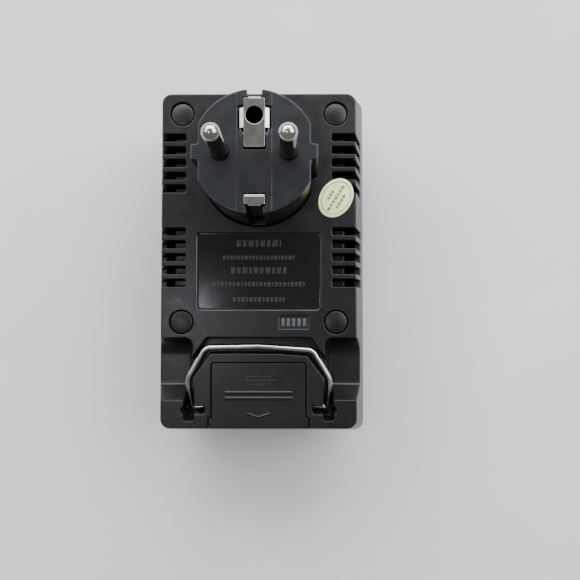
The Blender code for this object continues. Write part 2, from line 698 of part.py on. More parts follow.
def plug_body():
    above = PLUG_TOP_Z + 0.003
    plate_low = CLIP_TOP_Z - CLIP_THICK - GAP
    pocket_low = CLIP_DIVE_Z - 0.001
    half_x = CLIP_HALF_X + GAP
    solid = plug_outline("plug_core", 0.0, PLUG_FLANGE_LOW_Z + 0.0005, PLUG_TOP_Z)
    body = add_part("plug_body", cylinder("plug_body", PLUG_FLANGE_RADIUS, (0, PLUG_Y, PLUG_FLANGE_LOW_Z),
                                          (0, PLUG_Y, FACE_Z - FACE_THICK - GAP), 40), "plug_plastic")
    join(body, solid)
    cut(body, prism_tool("clip_seat_top", clip_wing_outline(GAP), plate_low, above))
    seats = {
        "clip_pocket_top": ((-half_x, CLIP_TOP_Y[0] - 0.0011, pocket_low),
                            (half_x, CLIP_TOP_Y[0] + 0.0005, above)),
        "rim_notch_top": ((-NOTCH_TOP_HALF_X, NOTCH_TOP_Y - CLIP_THICK - GAP, FACE_Z),
                          (NOTCH_TOP_HALF_X, 0.050, above)),
        "clip_seat_low": ((-half_x, NOTCH_LOW_Y - GAP, plate_low),
                          (half_x, CLIP_LOW_Y[1] + GAP, above)),
        "clip_pocket_low": ((-half_x, CLIP_LOW_Y[1] - 0.0005, pocket_low),
                            (half_x, CLIP_LOW_Y[1] + 0.0008, above)),
        "rim_notch_low": ((-NOTCH_LOW_HALF_X, 0.005, FACE_Z),
                          (NOTCH_LOW_HALF_X, NOTCH_LOW_Y + CLIP_THICK + GAP, above)),
    }
    for name, corners in seats.items():
        cut(body, box_tool(name, *corners))
    reach = SLEEVE_THICK / 2 + GAP
    cut(body, box_tool("sleeve_pocket", (-SLEEVE_HALF_X - reach, SLEEVE_LOW_Y - reach, SLEEVE_FOOT_Z - GAP),
                       (SLEEVE_HALF_X + reach, SLEEVE_TOP_Y + SLEEVE_BEND + reach, above),
                       SLEEVE_BEND + reach),
        cylinder_tool("earth_bore", EARTH_RADIUS + 0.0003, (0, EARTH_Y, 0.0510), (0, EARTH_Y, above)))
    for side in (-1, 1):
        cut(body, cylinder_tool(f"pin_bore_{side:+d}", PIN_RADIUS + GAP, (side * PIN_X, PLUG_Y, 0.040),
                                (side * PIN_X, PLUG_Y, above)))


def line_pins():
    shoulder_z = 0.0465
    for name, side in (("line_pin_left", -1), ("line_pin_right", 1)):
        turned(name, dome(PIN_RADIUS, PLUG_TOP_Z + PIN_LENGTH, PIN_DOME, 5) + [
            (PIN_RADIUS, shoulder_z), (PIN_TAIL_RADIUS, shoulder_z - 0.0005), (PIN_TAIL_RADIUS, PIN_TAIL_Z),
            (0.0, PIN_TAIL_Z)], "nickel", (side * PIN_X, PLUG_Y))


def earth_clips():
    """Two spring clips: a plate on the plug face, an inner end that dives and a tab over the rim."""
    plate_low = CLIP_TOP_Z - CLIP_THICK
    shy = 0.00005               # keeps joined faces from lying in one plane
    half = CLIP_THICK / 2
    tab_z = CLIP_TOP_Z - half - shy
    top = add_part("earth_clip_top", prism("earth_clip_top", clip_wing_outline(0.0), plate_low, CLIP_TOP_Z),
                   "nickel")
    low = add_part("earth_clip_low", box("earth_clip_low", (-CLIP_HALF_X, CLIP_LOW_Y[0], plate_low),
                                         (CLIP_HALF_X, CLIP_LOW_Y[1], CLIP_TOP_Z)), "nickel")
    ends = (("top", top, CLIP_TOP_Y[0] - 0.0004, CLIP_TOP_Y[1] - 0.0014, NOTCH_TOP_Y - half, TAB_TOP_HALF_X),
            ("low", low, CLIP_LOW_Y[1] - 0.0003, CLIP_LOW_Y[0] + 0.0010, NOTCH_LOW_Y + half, TAB_LOW_HALF_X))
    for name, clip, dive_y, tab_start, tab_y, tab_half in ends:
        dive = box_tool(f"clip_dive_{name}", (-CLIP_HALF_X + shy, dive_y, CLIP_DIVE_Z),
                        (CLIP_HALF_X - shy, dive_y + 0.0008, CLIP_TOP_Z - shy))
        path = rounded_flat_path([(tab_start, tab_z), (tab_y, tab_z), (tab_y, CLIP_FOOT_Z)], 0.0007)
        join(clip, dive, prism_tool(f"clip_tab_{name}", strip_outline(path, CLIP_THICK),
                                    -tab_half, tab_half, "X"))
    cut(top, cylinder_tool("clip_hole", EARTH_RADIUS, (0, EARTH_Y, 0.060), (0, EARTH_Y, 0.075)))


def earth_inside():
    """Bent sleeve under the upper clip and the strap that joins the clips inside the case."""
    path = rounded_flat_path([(-SLEEVE_HALF_X, SLEEVE_TOP_Y), (-SLEEVE_HALF_X, SLEEVE_LOW_Y),
                              (SLEEVE_HALF_X, SLEEVE_LOW_Y), (SLEEVE_HALF_X, SLEEVE_TOP_Y)], SLEEVE_BEND)
    add_part("earth_socket", prism("earth_socket", strip_outline(path, SLEEVE_THICK), SLEEVE_FOOT_Z,
                                   CLIP_TOP_Z - CLIP_THICK - GAP), "nickel")
    bridge = add_part("earth_bridge", box("earth_bridge", (-0.0030, 0.0125, 0.0434), (0.0030, 0.0435, 0.0440),
                                          0.0014), "brass")
    for i, y in enumerate((0.0155, 0.0405)):
        cut(bridge, cylinder_tool(f"bridge_hole_{i}", 0.0011, (0, y, 0.042), (0, y, 0.046), 16))


# ---------------------------------------------------------------- bail
def bail_stand():
    """Wire bail: two legs that turn in the pivot slots, two arms and a slightly bowed bar."""
    lower = [(BAIL_LEG_X, BAIL_PIVOT_Y, BAIL_PIVOT_Z), (BAIL_ARM_X, BAIL_PIVOT_Y, BAIL_PIVOT_Z),
             BAIL_DIVE, BAIL_BEND]
    left = [(-x, y, z) for x, y, z in lower] + [(-BAIL_CORNER_X, BAIL_CORNER_LEFT_Y, BAIL_BAR_Z)]
    right = [(BAIL_CORNER_X, BAIL_CORNER_RIGHT_Y, BAIL_BAR_Z)] + lower[::-1]
    bends = [BAIL_FOOT_BEND, BAIL_DIVE_BEND, BAIL_ARM_BEND, BAIL_CORNER_BEND]
    path = rounded_path(left + [(0, BAIL_BAR_Y, BAIL_BAR_Z)] + right, bends + [0.03] + bends[::-1], 5)
    wire("bail_stand", path, BAIL_RADIUS, "bail_steel", (0, BAIL_PIVOT_Y, BAIL_PIVOT_Z), 2)


# ---------------------------------------------------------------- fuse drawer and fuse
def fuse_door():
    low_z = DOOR_TOP_Z - DOOR_THICK
    end_y = DOOR_SKIRT_Y + 0.0003
    door = add_part("fuse_door", prism("fuse_door", door_outline(0.0, end_y), low_z, DOOR_TOP_Z),
                    "case_plastic")
    rails = box_tool("door_rails", (-DOOR_STEP_HALF_X, end_y, low_z),
                     (DOOR_STEP_HALF_X, DOOR_TOP_Y - 0.0015, low_z + DOOR_RAIL_HIGH))
    rim_y = wall_half(DOOR_TOP_Z, FACE_HALF_Y)
    foot_y = wall_half(DOOR_SKIRT_Z, FACE_HALF_Y)
    skirt = prism_tool("door_skirt", [
        (DOOR_STEP_Y, low_z), (DOOR_STEP_Y, DOOR_TOP_Z), (-rim_y + 0.0005, DOOR_TOP_Z),
        (-rim_y + 0.0001, DOOR_TOP_Z - 0.0002), (-rim_y - 0.0001, DOOR_TOP_Z - 0.0006),
        (-foot_y, DOOR_SKIRT_Z), (DOOR_SKIRT_Y, DOOR_SKIRT_Z), (DOOR_SKIRT_Y, low_z)],
        -DOOR_STEP_HALF_X, DOOR_STEP_HALF_X, "X")
    join(door, rails, skirt)
    for i, y in enumerate(RIB_YS):
        join(door, box_tool(f"door_rib_{i}", (-RIB_HALF_X, y - RIB_HALF_Y, DOOR_TOP_Z - RIB_HIGH),
                            (RIB_HALF_X, y + RIB_HALF_Y, DOOR_TOP_Z + RIB_HIGH)))
    join(door, prism_tool("door_arrow", mirrored(ARROW), DOOR_TOP_Z - 0.0003, DOOR_TOP_Z + 0.0002))


def fuse():
    x_cap = FUSE_HALF_LENGTH - FUSE_CAP_LENGTH
    x_glass = FUSE_HALF_LENGTH - 0.0008

    def across(x):
        return (x, FUSE_Y, FUSE_Z)

    glass = add_part("fuse_glass", cylinder("fuse_glass", GLASS_RADIUS, across(-x_glass), across(x_glass)),
                     "glass")
    cut(glass, cylinder_tool("glass_bore", GLASS_RADIUS - 0.0005, across(-0.012), across(0.012)))
    add_part("fuse_element", cylinder("fuse_element", 0.00015, across(-x_glass), across(x_glass), 8),
             "screw_steel")
    arc = [(FUSE_Y + FUSE_CLIP_RADIUS * math.cos(math.radians(a)),
            FUSE_Z + FUSE_CLIP_RADIUS * math.sin(math.radians(a))) for a in range(150, 391, 15)]
    for name, side in (("left", -1), ("right", 1)):
        cap = add_part(f"fuse_cap_{name}", cylinder(f"fuse_cap_{name}", FUSE_CAP_RADIUS, across(side * x_cap),
                                                    across(side * FUSE_HALF_LENGTH)), "nickel")
        cut(cap, cylinder_tool(f"cap_bore_{name}", FUSE_CAP_RADIUS - GAP, across(side * (x_cap - 0.001)),
                               across(side * (FUSE_HALF_LENGTH - 0.0005))))
        add_part(f"fuse_clip_{name}", prism(f"fuse_clip_{name}", strip_outline(arc, 0.0004),
                                            *sorted((side * 0.0072, side * 0.0096)), "X"), "brass")


# ---------------------------------------------------------------- outlet
def outlet():
    through = OUTLET_DEEP_Z + 0.005
    flange_x, flange_y, flange_z = OUTLET_FLANGE
    body = add_part("outlet_body", box("outlet_body",
                                       (-OUTLET_HALF_X, OUTLET_Y - OUTLET_HALF_Y, OUTLET_LOW_Z),
                                       (OUTLET_HALF_X, OUTLET_Y + OUTLET_HALF_Y, OUTLET_DEEP_Z),
                                       OUTLET_CORNER), "plug_plastic")
    join(body, box_tool("outlet_flange", (-flange_x, OUTLET_Y - flange_y, FACE_THICK + GAP),
                        (flange_x, OUTLET_Y + flange_y, flange_z), 0.002))
    for name, x, half_y in (("live", -BLADE_X, LIVE_HALF_Y), ("neutral", BLADE_X, NEUTRAL_HALF_Y)):
        cut(body, box_tool(f"slot_{name}", (x - BLADE_HALF_X, BLADE_Y - half_y, -0.001),
                           (x + BLADE_HALF_X, BLADE_Y + half_y, through)),
            box_tool(f"contact_room_{name}", (x - 0.0022, BLADE_Y - 0.0045, CONTACT_LOW_Z - 0.001),
                     (x + 0.0022, BLADE_Y + 0.0045, through)))
        path = rounded_flat_path([(CONTACT_LOW_Z, x - 0.0014), (0.0130, x - 0.0014), (0.0130, x + 0.0014),
                                  (CONTACT_LOW_Z, x + 0.0014)], 0.0008)
        add_part(f"outlet_contact_{name}", prism(f"outlet_contact_{name}", strip_outline(path, 0.0005),
                                                 BLADE_Y - 0.0035, BLADE_Y + 0.0035, "Y"), "brass")
    cut(body, cylinder_tool("slot_earth", OUTLET_EARTH_RADIUS, (0, OUTLET_EARTH_Y, -0.001),
                            (0, OUTLET_EARTH_Y, through)),
        cylinder_tool("contact_room_earth", OUTLET_EARTH_RADIUS + 0.0009,
                      (0, OUTLET_EARTH_Y, CONTACT_LOW_Z - 0.001), (0, OUTLET_EARTH_Y, through)))
    contact = add_part("outlet_contact_earth", cylinder(
        "outlet_contact_earth", OUTLET_EARTH_RADIUS + 0.0006, (0, OUTLET_EARTH_Y, CONTACT_LOW_Z),
        (0, OUTLET_EARTH_Y, 0.0140)), "brass")
    cut(contact, cylinder_tool("earth_contact_bore", OUTLET_EARTH_RADIUS, (0, OUTLET_EARTH_Y, 0.001),
                               (0, OUTLET_EARTH_Y, through)))


# ---------------------------------------------------------------- transformer
def square_ring(name, outer, inner, low_z, high_z, corner, look=None):
    """A rectangular ring round the centre leg; outer and inner are (half_x, half_y)."""
    mesh = box(name, (-outer[0], CORE_Y - outer[1], low_z), (outer[0], CORE_Y + outer[1], high_z), corner)
    ring = add_part(name, mesh, look) if look else add_tool(name, mesh)
    cut(ring, box_tool(name + "_hole", (-inner[0], CORE_Y - inner[1], low_z - 0.01),
                       (inner[0], CORE_Y + inner[1], high_z + 0.01)))
    return ring


def transformer():
    core = add_part("transformer_core", box("transformer_core",
                                            (-CORE_HALF_X, CORE_Y - CORE_HALF_Y, CORE_LOW_Z),
                                            (CORE_HALF_X, CORE_Y + CORE_HALF_Y, CORE_HIGH_Z)), "lamination")
    yoke = CORE_LEG * 0.8
    window = (CORE_LOW_Z + yoke, CORE_HIGH_Z - yoke)
    for side in (-1, 1):
        ends = sorted((CORE_Y + side * CORE_LEG, CORE_Y + side * (CORE_HALF_Y - CORE_LEG)))
        cut(core, box_tool(f"core_window_{side:+d}", (-0.03, ends[0], window[0]), (0.03, ends[1], window[1])))
    low, high = window[0] + GAP, window[1] - GAP
    leg = (CORE_HALF_X + GAP, CORE_LEG + GAP)
    tube = (leg[0] + BOBBIN_WALL, leg[1] + BOBBIN_WALL)
    bobbin = square_ring("coil_bobbin", (COIL_HALF_X, COIL_HALF_Y), leg, low, high, 0.0008, "bobbin_plastic")
    cut(bobbin, square_ring("bobbin_groove", (COIL_HALF_X + 0.002, COIL_HALF_Y + 0.002), tube,
                            low + 0.0010, high - 0.0010, 0.0))
    layers = (("primary_winding", 0.0003, 0.0015, "copper_enamel"),
              ("secondary_winding", 0.0018, 0.0028, "copper_enamel"),
              ("winding_tape", 0.0031, 0.0034, "tape"))
    reach = 1.6                 # the coil is thicker along Y than beside the core
    for name, start, end, look in layers:
        square_ring(name, (tube[0] + end, tube[1] + end * reach), (tube[0] + start, tube[1] + start * reach),
                    low + 0.0014, high - 0.0014, 0.0007, look)


def clamps():
    """Two sheet straps over the core, screwed to stands in the front shell."""
    half_sheet = CLAMP_SHEET / 2
    foot_z = CLAMP_FOOT_Z + half_sheet
    top_z = CORE_HIGH_Z + GAP + half_sheet
    side_x = CORE_HALF_X + GAP + half_sheet
    seat = CLAMP_FOOT_Z + CLAMP_SHEET + GAP
    path = rounded_flat_path([(foot_z, -CLAMP_FOOT_X), (foot_z, -side_x), (top_z, -side_x),
                              (top_z, side_x), (foot_z, side_x), (foot_z, CLAMP_FOOT_X)], 0.0008)
    for name, y in CLAMP_YS.items():
        clamp = add_part(f"core_clamp_{name}", prism(f"core_clamp_{name}", strip_outline(path, CLAMP_SHEET),
                                                     y - CLAMP_HALF_Y, y + CLAMP_HALF_Y, "Y"), "screw_steel")
        for side in (-1, 1):
            cut(clamp, cylinder_tool(f"clamp_hole_{name}_{side:+d}", 0.0013,
                                     (side * CLAMP_SCREW_X, y, 0.003), (side * CLAMP_SCREW_X, y, 0.009), 16))
    for i, (x, y) in enumerate(CLAMP_SCREW_PLACES, 1):
        turned(f"clamp_screw_{i}", [(0.0, seat + 0.0012), (0.0013, seat + 0.0011), (0.0021, seat + 0.0005),
                                    (0.0021, seat), (0.0009, seat), (0.0009, 0.0022), (0.0, 0.0018)],
               "screw_steel", (x, y), 16)


def thermal_cutout():
    """Small box beside the coil, with a terminal blade."""
    body = add_part("thermal_cutout", box("thermal_cutout", (0.0191, -0.0120, 0.0140),
                                          (0.0226, 0.0020, 0.0220), 0.0012, 1), "bobbin_plastic")
    join(body, box_tool("cutout_terminal", (0.0204, -0.0120, 0.0215), (0.0212, -0.0070, 0.0250)))


def leads():
    """Insulated leads, each through a few points of its route."""
    tail_z = PIN_TAIL_Z - 0.0012
    routes = {
        "live_lead": ("wire_red", [
            (PIN_X, PLUG_Y, tail_z), (0.0120, 0.0290, 0.0385), (0.0180, 0.0240, 0.0360),
            (0.0235, 0.0120, 0.0330), (0.0222, -0.0020, 0.0300), (0.0208, -0.0095, 0.0262)]),
        "neutral_lead": ("wire_white", [
            (-PIN_X, PLUG_Y, tail_z), (-0.0120, 0.0290, 0.0385), (-0.0190, 0.0230, 0.0350),
            (-0.0230, 0.0130, 0.0310), (-0.0215, 0.0030, 0.0270), (-0.0200, -0.0040, 0.0230)]),
        "earth_lead": ("wire_green", [
            (0.0, 0.0300, 0.0424), (0.0, 0.0290, 0.0380), (0.0, 0.0270, 0.0280), (0.0, 0.0245, 0.0200),
            (0.0, 0.0241, 0.0152)]),
        "outlet_lead_live": ("wire_black", [
            (-BLADE_X, 0.0360, 0.0145), (-0.0080, 0.0340, 0.0190), (-0.0150, 0.0240, 0.0200),
            (-0.0230, 0.0120, 0.0190), (-0.0215, -0.0010, 0.0170), (-0.0200, -0.0060, 0.0150)]),
        "outlet_lead_neutral": ("wire_white", [
            (BLADE_X, 0.0360, 0.0145), (0.0080, 0.0340, 0.0190), (0.0150, 0.0260, 0.0200),
            (0.0250, 0.0150, 0.0200), (0.0255, 0.0050, 0.0300), (0.0225, -0.0060, 0.0340),
            (0.0200, -0.0130, 0.0360)]),
    }
    for name, (look, points) in routes.items():
        wire(name, smooth_route(points), LEAD_RADIUS, look)


# ---------------------------------------------------------------- label
def inspection_sticker():
    """Oval paper label on the rear face, its long axis leaning to the left."""
    steps = 40
    cos, sin = math.cos(STICKER_LEAN), math.sin(STICKER_LEAN)
    outline = []
    for i in range(steps):
        a = 2 * math.pi * i / steps
        u, v = STICKER_HALF_LONG * math.cos(a), STICKER_HALF_SHORT * math.sin(a)
        outline.append((STICKER_X + u * cos - v * sin, STICKER_Y + u * sin + v * cos))
    add_part("inspection_sticker", prism("inspection_sticker", outline, FACE_Z + 0.0001, FACE_Z + 0.0002),
             "label_paper")


rear_shell()
front_shell()
case_fasteners()
plug_body()
line_pins()
earth_clips()
earth_inside()
bail_stand()
fuse_door()
fuse()
outlet()
transformer()
clamps()
thermal_cutout()
leads()
inspection_sticker()
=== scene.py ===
"""Looks of a plug-in voltage converter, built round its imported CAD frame.

Metres, in the frame of the part: the case lies on its front face, +Z is the way its plug points,
+Y is the plug's end of the case. Every moulded piece is cut and joined from solids and then
remeshed finely, so that all its edges carry the small radius of a moulding.
"""
import json
import math

import bmesh
import bpy
from mathutils import Matrix, Vector

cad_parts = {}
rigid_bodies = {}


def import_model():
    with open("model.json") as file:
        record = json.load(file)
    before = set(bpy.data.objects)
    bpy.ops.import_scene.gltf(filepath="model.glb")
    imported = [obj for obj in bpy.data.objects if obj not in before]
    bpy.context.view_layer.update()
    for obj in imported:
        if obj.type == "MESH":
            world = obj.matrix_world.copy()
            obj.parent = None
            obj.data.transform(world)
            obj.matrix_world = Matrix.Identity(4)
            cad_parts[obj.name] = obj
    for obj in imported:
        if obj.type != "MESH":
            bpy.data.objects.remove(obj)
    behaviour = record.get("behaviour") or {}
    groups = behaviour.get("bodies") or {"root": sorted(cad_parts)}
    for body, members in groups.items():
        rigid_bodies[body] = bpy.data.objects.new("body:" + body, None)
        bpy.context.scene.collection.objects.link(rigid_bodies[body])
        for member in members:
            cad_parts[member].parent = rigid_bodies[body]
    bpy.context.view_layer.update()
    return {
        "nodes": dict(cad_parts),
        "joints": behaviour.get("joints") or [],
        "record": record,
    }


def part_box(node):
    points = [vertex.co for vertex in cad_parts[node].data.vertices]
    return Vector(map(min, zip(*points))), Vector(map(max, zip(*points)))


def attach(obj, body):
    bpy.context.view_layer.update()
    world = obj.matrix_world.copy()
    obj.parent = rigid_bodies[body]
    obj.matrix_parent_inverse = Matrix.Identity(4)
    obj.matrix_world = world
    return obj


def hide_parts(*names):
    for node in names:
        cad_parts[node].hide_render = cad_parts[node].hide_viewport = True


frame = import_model()


# ---- sizes, taken from the frame wherever it has them
def low(node):
    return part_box(node)[0]


def high(node):
    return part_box(node)[1]


def middle(node):
    return (low(node) + high(node)) / 2


GAP = 0.0003
OFF_PLANE = 0.00002             # keeps cutting planes apart
FACE_Z = high("rear_shell").z
PART_Z = low("rear_shell").z - GAP / 2
ABOVE = FACE_Z + 0.002          # where the cutters of the rear face end
WALL_SLOPE = 0.244
FACE_HALF_X = high("rear_shell").x - WALL_SLOPE * (FACE_Z - low("rear_shell").z)
FACE_HALF_Y = high("rear_shell").y - WALL_SLOPE * (FACE_Z - low("rear_shell").z)
FRONT_HALF_X = 0.0339
FRONT_HALF_Y = 0.0557
CORNER = 0.0030
RIM = 0.0005
FRONT_CORNER = CORNER + 0.001
FRONT_RIM = 0.0024
WALL = 0.0022
FACE_THICK = 0.0025
TONGUE = 0.0011                 # how far the lip between the halves is set in
TONGUE_HIGH = 0.0014
TONGUE_ROOT_Z = 0.0310
CAVITY_Z = (0.0320, 0.0490)     # the rear cavity's lower end, and a level inside the face above it
SIDE = 0.040                    # a cutter that goes out through a side wall ends at this x
FAR_LOW_Y = -0.070              # and one that goes out through the lower end at this y

SCREWS = [middle(f"screw_cap_{i}") for i in range(1, 5)]
BOSS_RADIUS = 0.0046
BOSS_LOW_Z = 0.0315
CAP_RECESS_RADIUS = 0.00375
CAP_RECESS_DEEP = 0.0014
CAP_RADIUS = (high("screw_cap_1").x - low("screw_cap_1").x) / 2
CAP_CROWN = 0.0003
CAP_EDGE = 0.0002
CAP_STEM_RADIUS = 0.0028
SCREW_SEAT_Z = 0.0380
SCREW_HEAD_RADIUS = 0.0032
SCREW_BORE_RADIUS = 0.0018
FRONT_BOSS_RADIUS = 0.0043
POST_ROOT_Z = 0.0010            # a level inside the front wall
PILOT_Z = (0.012, 0.040)
CLAMP_SCREWS = [middle(f"clamp_screw_{i}") for i in range(1, 5)]
STAND_RADIUS = 0.0026
CLAMP_PILOT_RADIUS = 0.0012
CLAMP_PILOT_Z = (0.0015, 0.010)

VENT_PITCH = 0.0040
VENT_HIGH = 0.00245
VENT_COUNT = 5
VENT_TOPS = (0.0395, 0.0100)
VENT_INNER_X = 0.02275
VENT_LEDGE_X = 0.0271
VENT_LEDGE_DEEP = 0.0054
VENT_WALL_DEEP = 0.0105
LEDGE_WALL = 0.0013             # plastic left round the ledge of a vent group

PANEL_HALF_X = 0.0194
PANEL_Y = (-0.0158, 0.0086)
PANEL_DEEP = 0.00022
PANEL_CORNER = 0.0016
PANEL_LINES = ((0.0069, 0.0051, 0.0023), (0.0111, 0.0006, 0.0014), (0.0086, -0.0034, 0.0022),
               (0.0142, -0.0077, 0.0015), (0.0080, -0.0125, 0.0016))      # half width, y, height
MARK_SINK = 0.0001              # how deep a raised mark is rooted
PANEL_MARK_HIGH = 0.00022
NUMBER_X = (0.0061, 0.0156)
NUMBER_Y = (-0.0217, -0.0172)
NUMBER_DEEP = 0.0002
NUMBER_COUNT = 5
NUMBER_MIDDLE_X = 0.01085
NUMBER_PITCH = 0.00165
NUMBER_BAR_HALF_X = 0.00050
NUMBER_BAR_Y = (-0.0207, -0.0182)
NUMBER_HIGH = 0.0001

PLUG_Y = middle("plug_body").y
PLUG_TOP_Z = high("plug_body").z
PLUG_RADIUS = 0.01745
PLUG_FLAT_X = 0.0156
PLUG_EAR_X = 0.0176
PLUG_EAR_HALF_Y = 0.0022
PLUG_FLANGE_RADIUS = (high("plug_body").x - low("plug_body").x) / 2
PLUG_FLANGE_LOW_Z = low("plug_body").z
PLUG_HOLE_LOW_Z = 0.0460
PLUG_ROUND = 0.00025            # small radius round the plug's face
PLUG_SKIRT_RADIUS = 0.0190      # beyond the plug's wall
PLUG_SKIRT_Z = 0.0440
PLUG_BAND = (0.0047, 0.00009)   # the outer bands of the face: inner x and how deep they lie
PIN_X = middle("line_pin_right").x
PIN_RADIUS = (high("line_pin_right").x - low("line_pin_right").x) / 2
PIN_TOP_Z = high("line_pin_right").z
PIN_TAIL_Z = low("line_pin_right").z
PIN_DOME = 0.0014
PIN_EDGE = 0.00025
PIN_NECK = (0.0016, 0.0460, 0.0465)     # radius of the tail, and where it starts

EARTH_Y = 0.0382
EARTH_RADIUS = 0.0025
EARTH_RIM = 0.00022             # of the rolled edge round its hole
EARTH_BORE_LOW_Z = 0.0510
PIN_BORE_LOW_Z = 0.040
CLIP_TOP_Z = high("earth_clip_top").z
CLIP_THICK = 0.0006
CLIP_HALF_X = 0.0029
CLIP_TOP_Y = (0.0297, 0.0429)
CLIP_LOW_Y = (0.0135, 0.0157)
CLIP_DIVE_Z = 0.0665
CLIP_FOOT_Z = low("earth_clip_top").z
CLIP_VOXEL = 0.00010
CLIP_SHY = 0.00005              # keeps joined strips from sharing a plane
POCKET_FLOOR_Z = 0.0630
WING_HALF_X = high("earth_clip_top").x
WING_Y = (0.0347, 0.0404)
WING_FOOT_Z = 0.0670
TAB_TOP_HALF_X = 0.0017
TAB_LOW_HALF_X = 0.0019
NOTCH_TOP_Y = high("earth_clip_top").y
NOTCH_LOW_Y = low("earth_clip_low").y
NOTCH_TOP_HALF_X = 0.00205
NOTCH_LOW_HALF_X = 0.00225
SLEEVE_THICK = 0.0005
SLEEVE_HALF_X = high("earth_socket").x - SLEEVE_THICK / 2
SLEEVE_LOW_Y = low("earth_socket").y + SLEEVE_THICK / 2
SLEEVE_TOP_Y = high("earth_socket").y
SLEEVE_FOOT_Z = low("earth_socket").z
SLEEVE_BEND = 0.0016
SLEEVE_TOP_Z = high("earth_socket").z

DECK_TOP_Y = -0.0222
DECK_LOW_Z = 0.0388
CHANNEL_FLOOR_Z = 0.0464
CHANNEL_CORNER = 0.0016
CHANNEL_OUTER = ((0.0162, -0.0241), (0.0235, -0.0345), (0.0235, -0.0420))
BLOCK = ((-0.0205, -0.0600), (-0.0205, -0.0370), (-0.0151, -0.0292), (-0.0060, -0.0291),
         (0.0060, -0.0292), (0.0151, -0.0299), (0.0205, -0.0372), (0.0205, -0.0600))
BLOCK_CORNER = 0.0009
SCOOP_INNER_X = 0.0203
SCOOP_OUTER_X = 0.045
SCOOP_PLAN_Y = -0.0500
SCOOP_PLAN_Z = 0.0400
SCOOP_INNER_LEAN = 0.26
SCOOP_FLOOR_Z = 0.0418
SCOOP_TOP_Y = -0.0242
SCOOP_RAMP_Y = -0.0398
SCOOP_CREST_Y = -0.0434
SCOOP_STEEP = 0.0060            # length of its steep upper end
SCOOP_BEND = 0.0014
SCOOP_CORNER = 0.0028
PIVOT_SLOTS = (((0.0200, 0.0232), (-0.0498, -0.0393), 0.0420, 0.0006),
               ((0.0166, 0.0240), (-0.0478, -0.0453), 0.0423, 0.0011))  # x, y, floor and corner

HINGE = next(joint for joint in frame["joints"] if joint["name"] == "bail_hinge")
PIVOT_Y, PIVOT_Z = HINGE["pos_m"][1:]
BAIL_RADIUS = 0.0009
BAIL_ARM = ((0.0174, PIVOT_Y, PIVOT_Z), (0.0216, PIVOT_Y, PIVOT_Z), (0.0220, -0.0398, 0.0476),
            (0.0222, -0.0372, 0.0478))
BAIL_CORNERS = ((-0.0168, -0.0274, 0.0485), (0.0168, -0.0282, 0.0485))
BAIL_BAR = (0.0, -0.0270, 0.0485)
BAIL_BENDS = (0.0012, 0.0020, 0.0060, 0.0028)
BAIL_BAR_BEND = 0.03

DOOR_HALF_X = 0.0145
DOOR_STEP_HALF_X = high("fuse_door").x
DOOR_TOP_Y = high("fuse_door").y
DOOR_STEP_Y = -0.0490
DOOR_TOP_Z = 0.0498
DOOR_THICK = 0.0023
DOOR_CORNER = 0.0009
DOOR_SKIRT_Z = low("fuse_door").z
DOOR_SKIRT_Y = -0.0513
DOOR_RAIL_HIGH = 0.0010
DOOR_FOOT = 0.0003              # how far plate and rails reach into the skirt
RIBS = (0.0104, 0.00035, 0.00022)       # half length, half width and height
RIB_YS = (-0.0412, -0.0429)
ARROW = ((0.0, -0.0489), (0.0034, -0.0478), (0.0034, -0.0474), (0.0, -0.0485))
SIGN_HIGH = 0.00018
SIGN_Y = -0.0374
SIGN = (0.0036, 0.0012, 0.0018)         # half length and half height of the box, length of a lead
SIGN_LINE = 0.00016
BAY_HALF_X = 0.0132
BAY_Y = (-0.0475, -0.0350)
BAY_FLOOR_Z = 0.0400

OUTLET = middle("outlet_body")
OUTLET_HALF_X = 0.0160
OUTLET_HALF_Y = 0.0150
OUTLET_CORNER = 0.0027
OUTLET_HOLE_CORNER = 0.003
OUTLET_FLANGE = (0.0180, 0.0165, 0.0045)        # half x, half y and top level
OUTLET_OUT_Z = -0.001           # cutters of the front face start below it
OUTLET_ROOM_Z = (0.0030, 0.020)         # where the contacts have room
OUTLET_EARTH_Y = middle("outlet_contact_earth").y
OUTLET_EARTH_RADII = (0.0025, 0.0031, 0.0034)   # of the hole, its mouth and its room
BLADE_X = middle("outlet_contact_neutral").x
BLADE_Y = middle("outlet_contact_neutral").y
BLADE_HALF_Y = 0.0034
WIDE_BLADE_HALF_Y = 0.0041
BLADE_SLOT_HALF_X = 0.0008
BLADE_ROOM = (0.0022, 0.0045)
MOUTH = 0.0005                  # how wide and deep the lead-in of a slot is

STICKER = middle("inspection_sticker")
STICKER_LEAN = math.radians(57)
STICKER_LONG = 0.0065
STICKER_SHORT = 0.0050
STICKER_LIFT = 0.00006
STICKER_SAG = 0.00010
STICKER_THICK = 0.00010
STICKER_ROWS = ((0.00185, 0.0026, (0.0008, 0.0011)), (0.0, 0.0046, (0.0012, 0.0007, 0.0010)),
                (-0.00185, 0.0016, (0.0007, 0.0009)))   # place, half width, lengths of the dashes

FINE = 0.00026                  # voxel of the large mouldings
FINER = 0.00016                 # voxel of the small ones
FLOOR_REACH = 3.0
FLOOR_Z = -0.0001
LEVEL_REACH = 0.00006           # how far from a level a vertex still belongs to its flat face


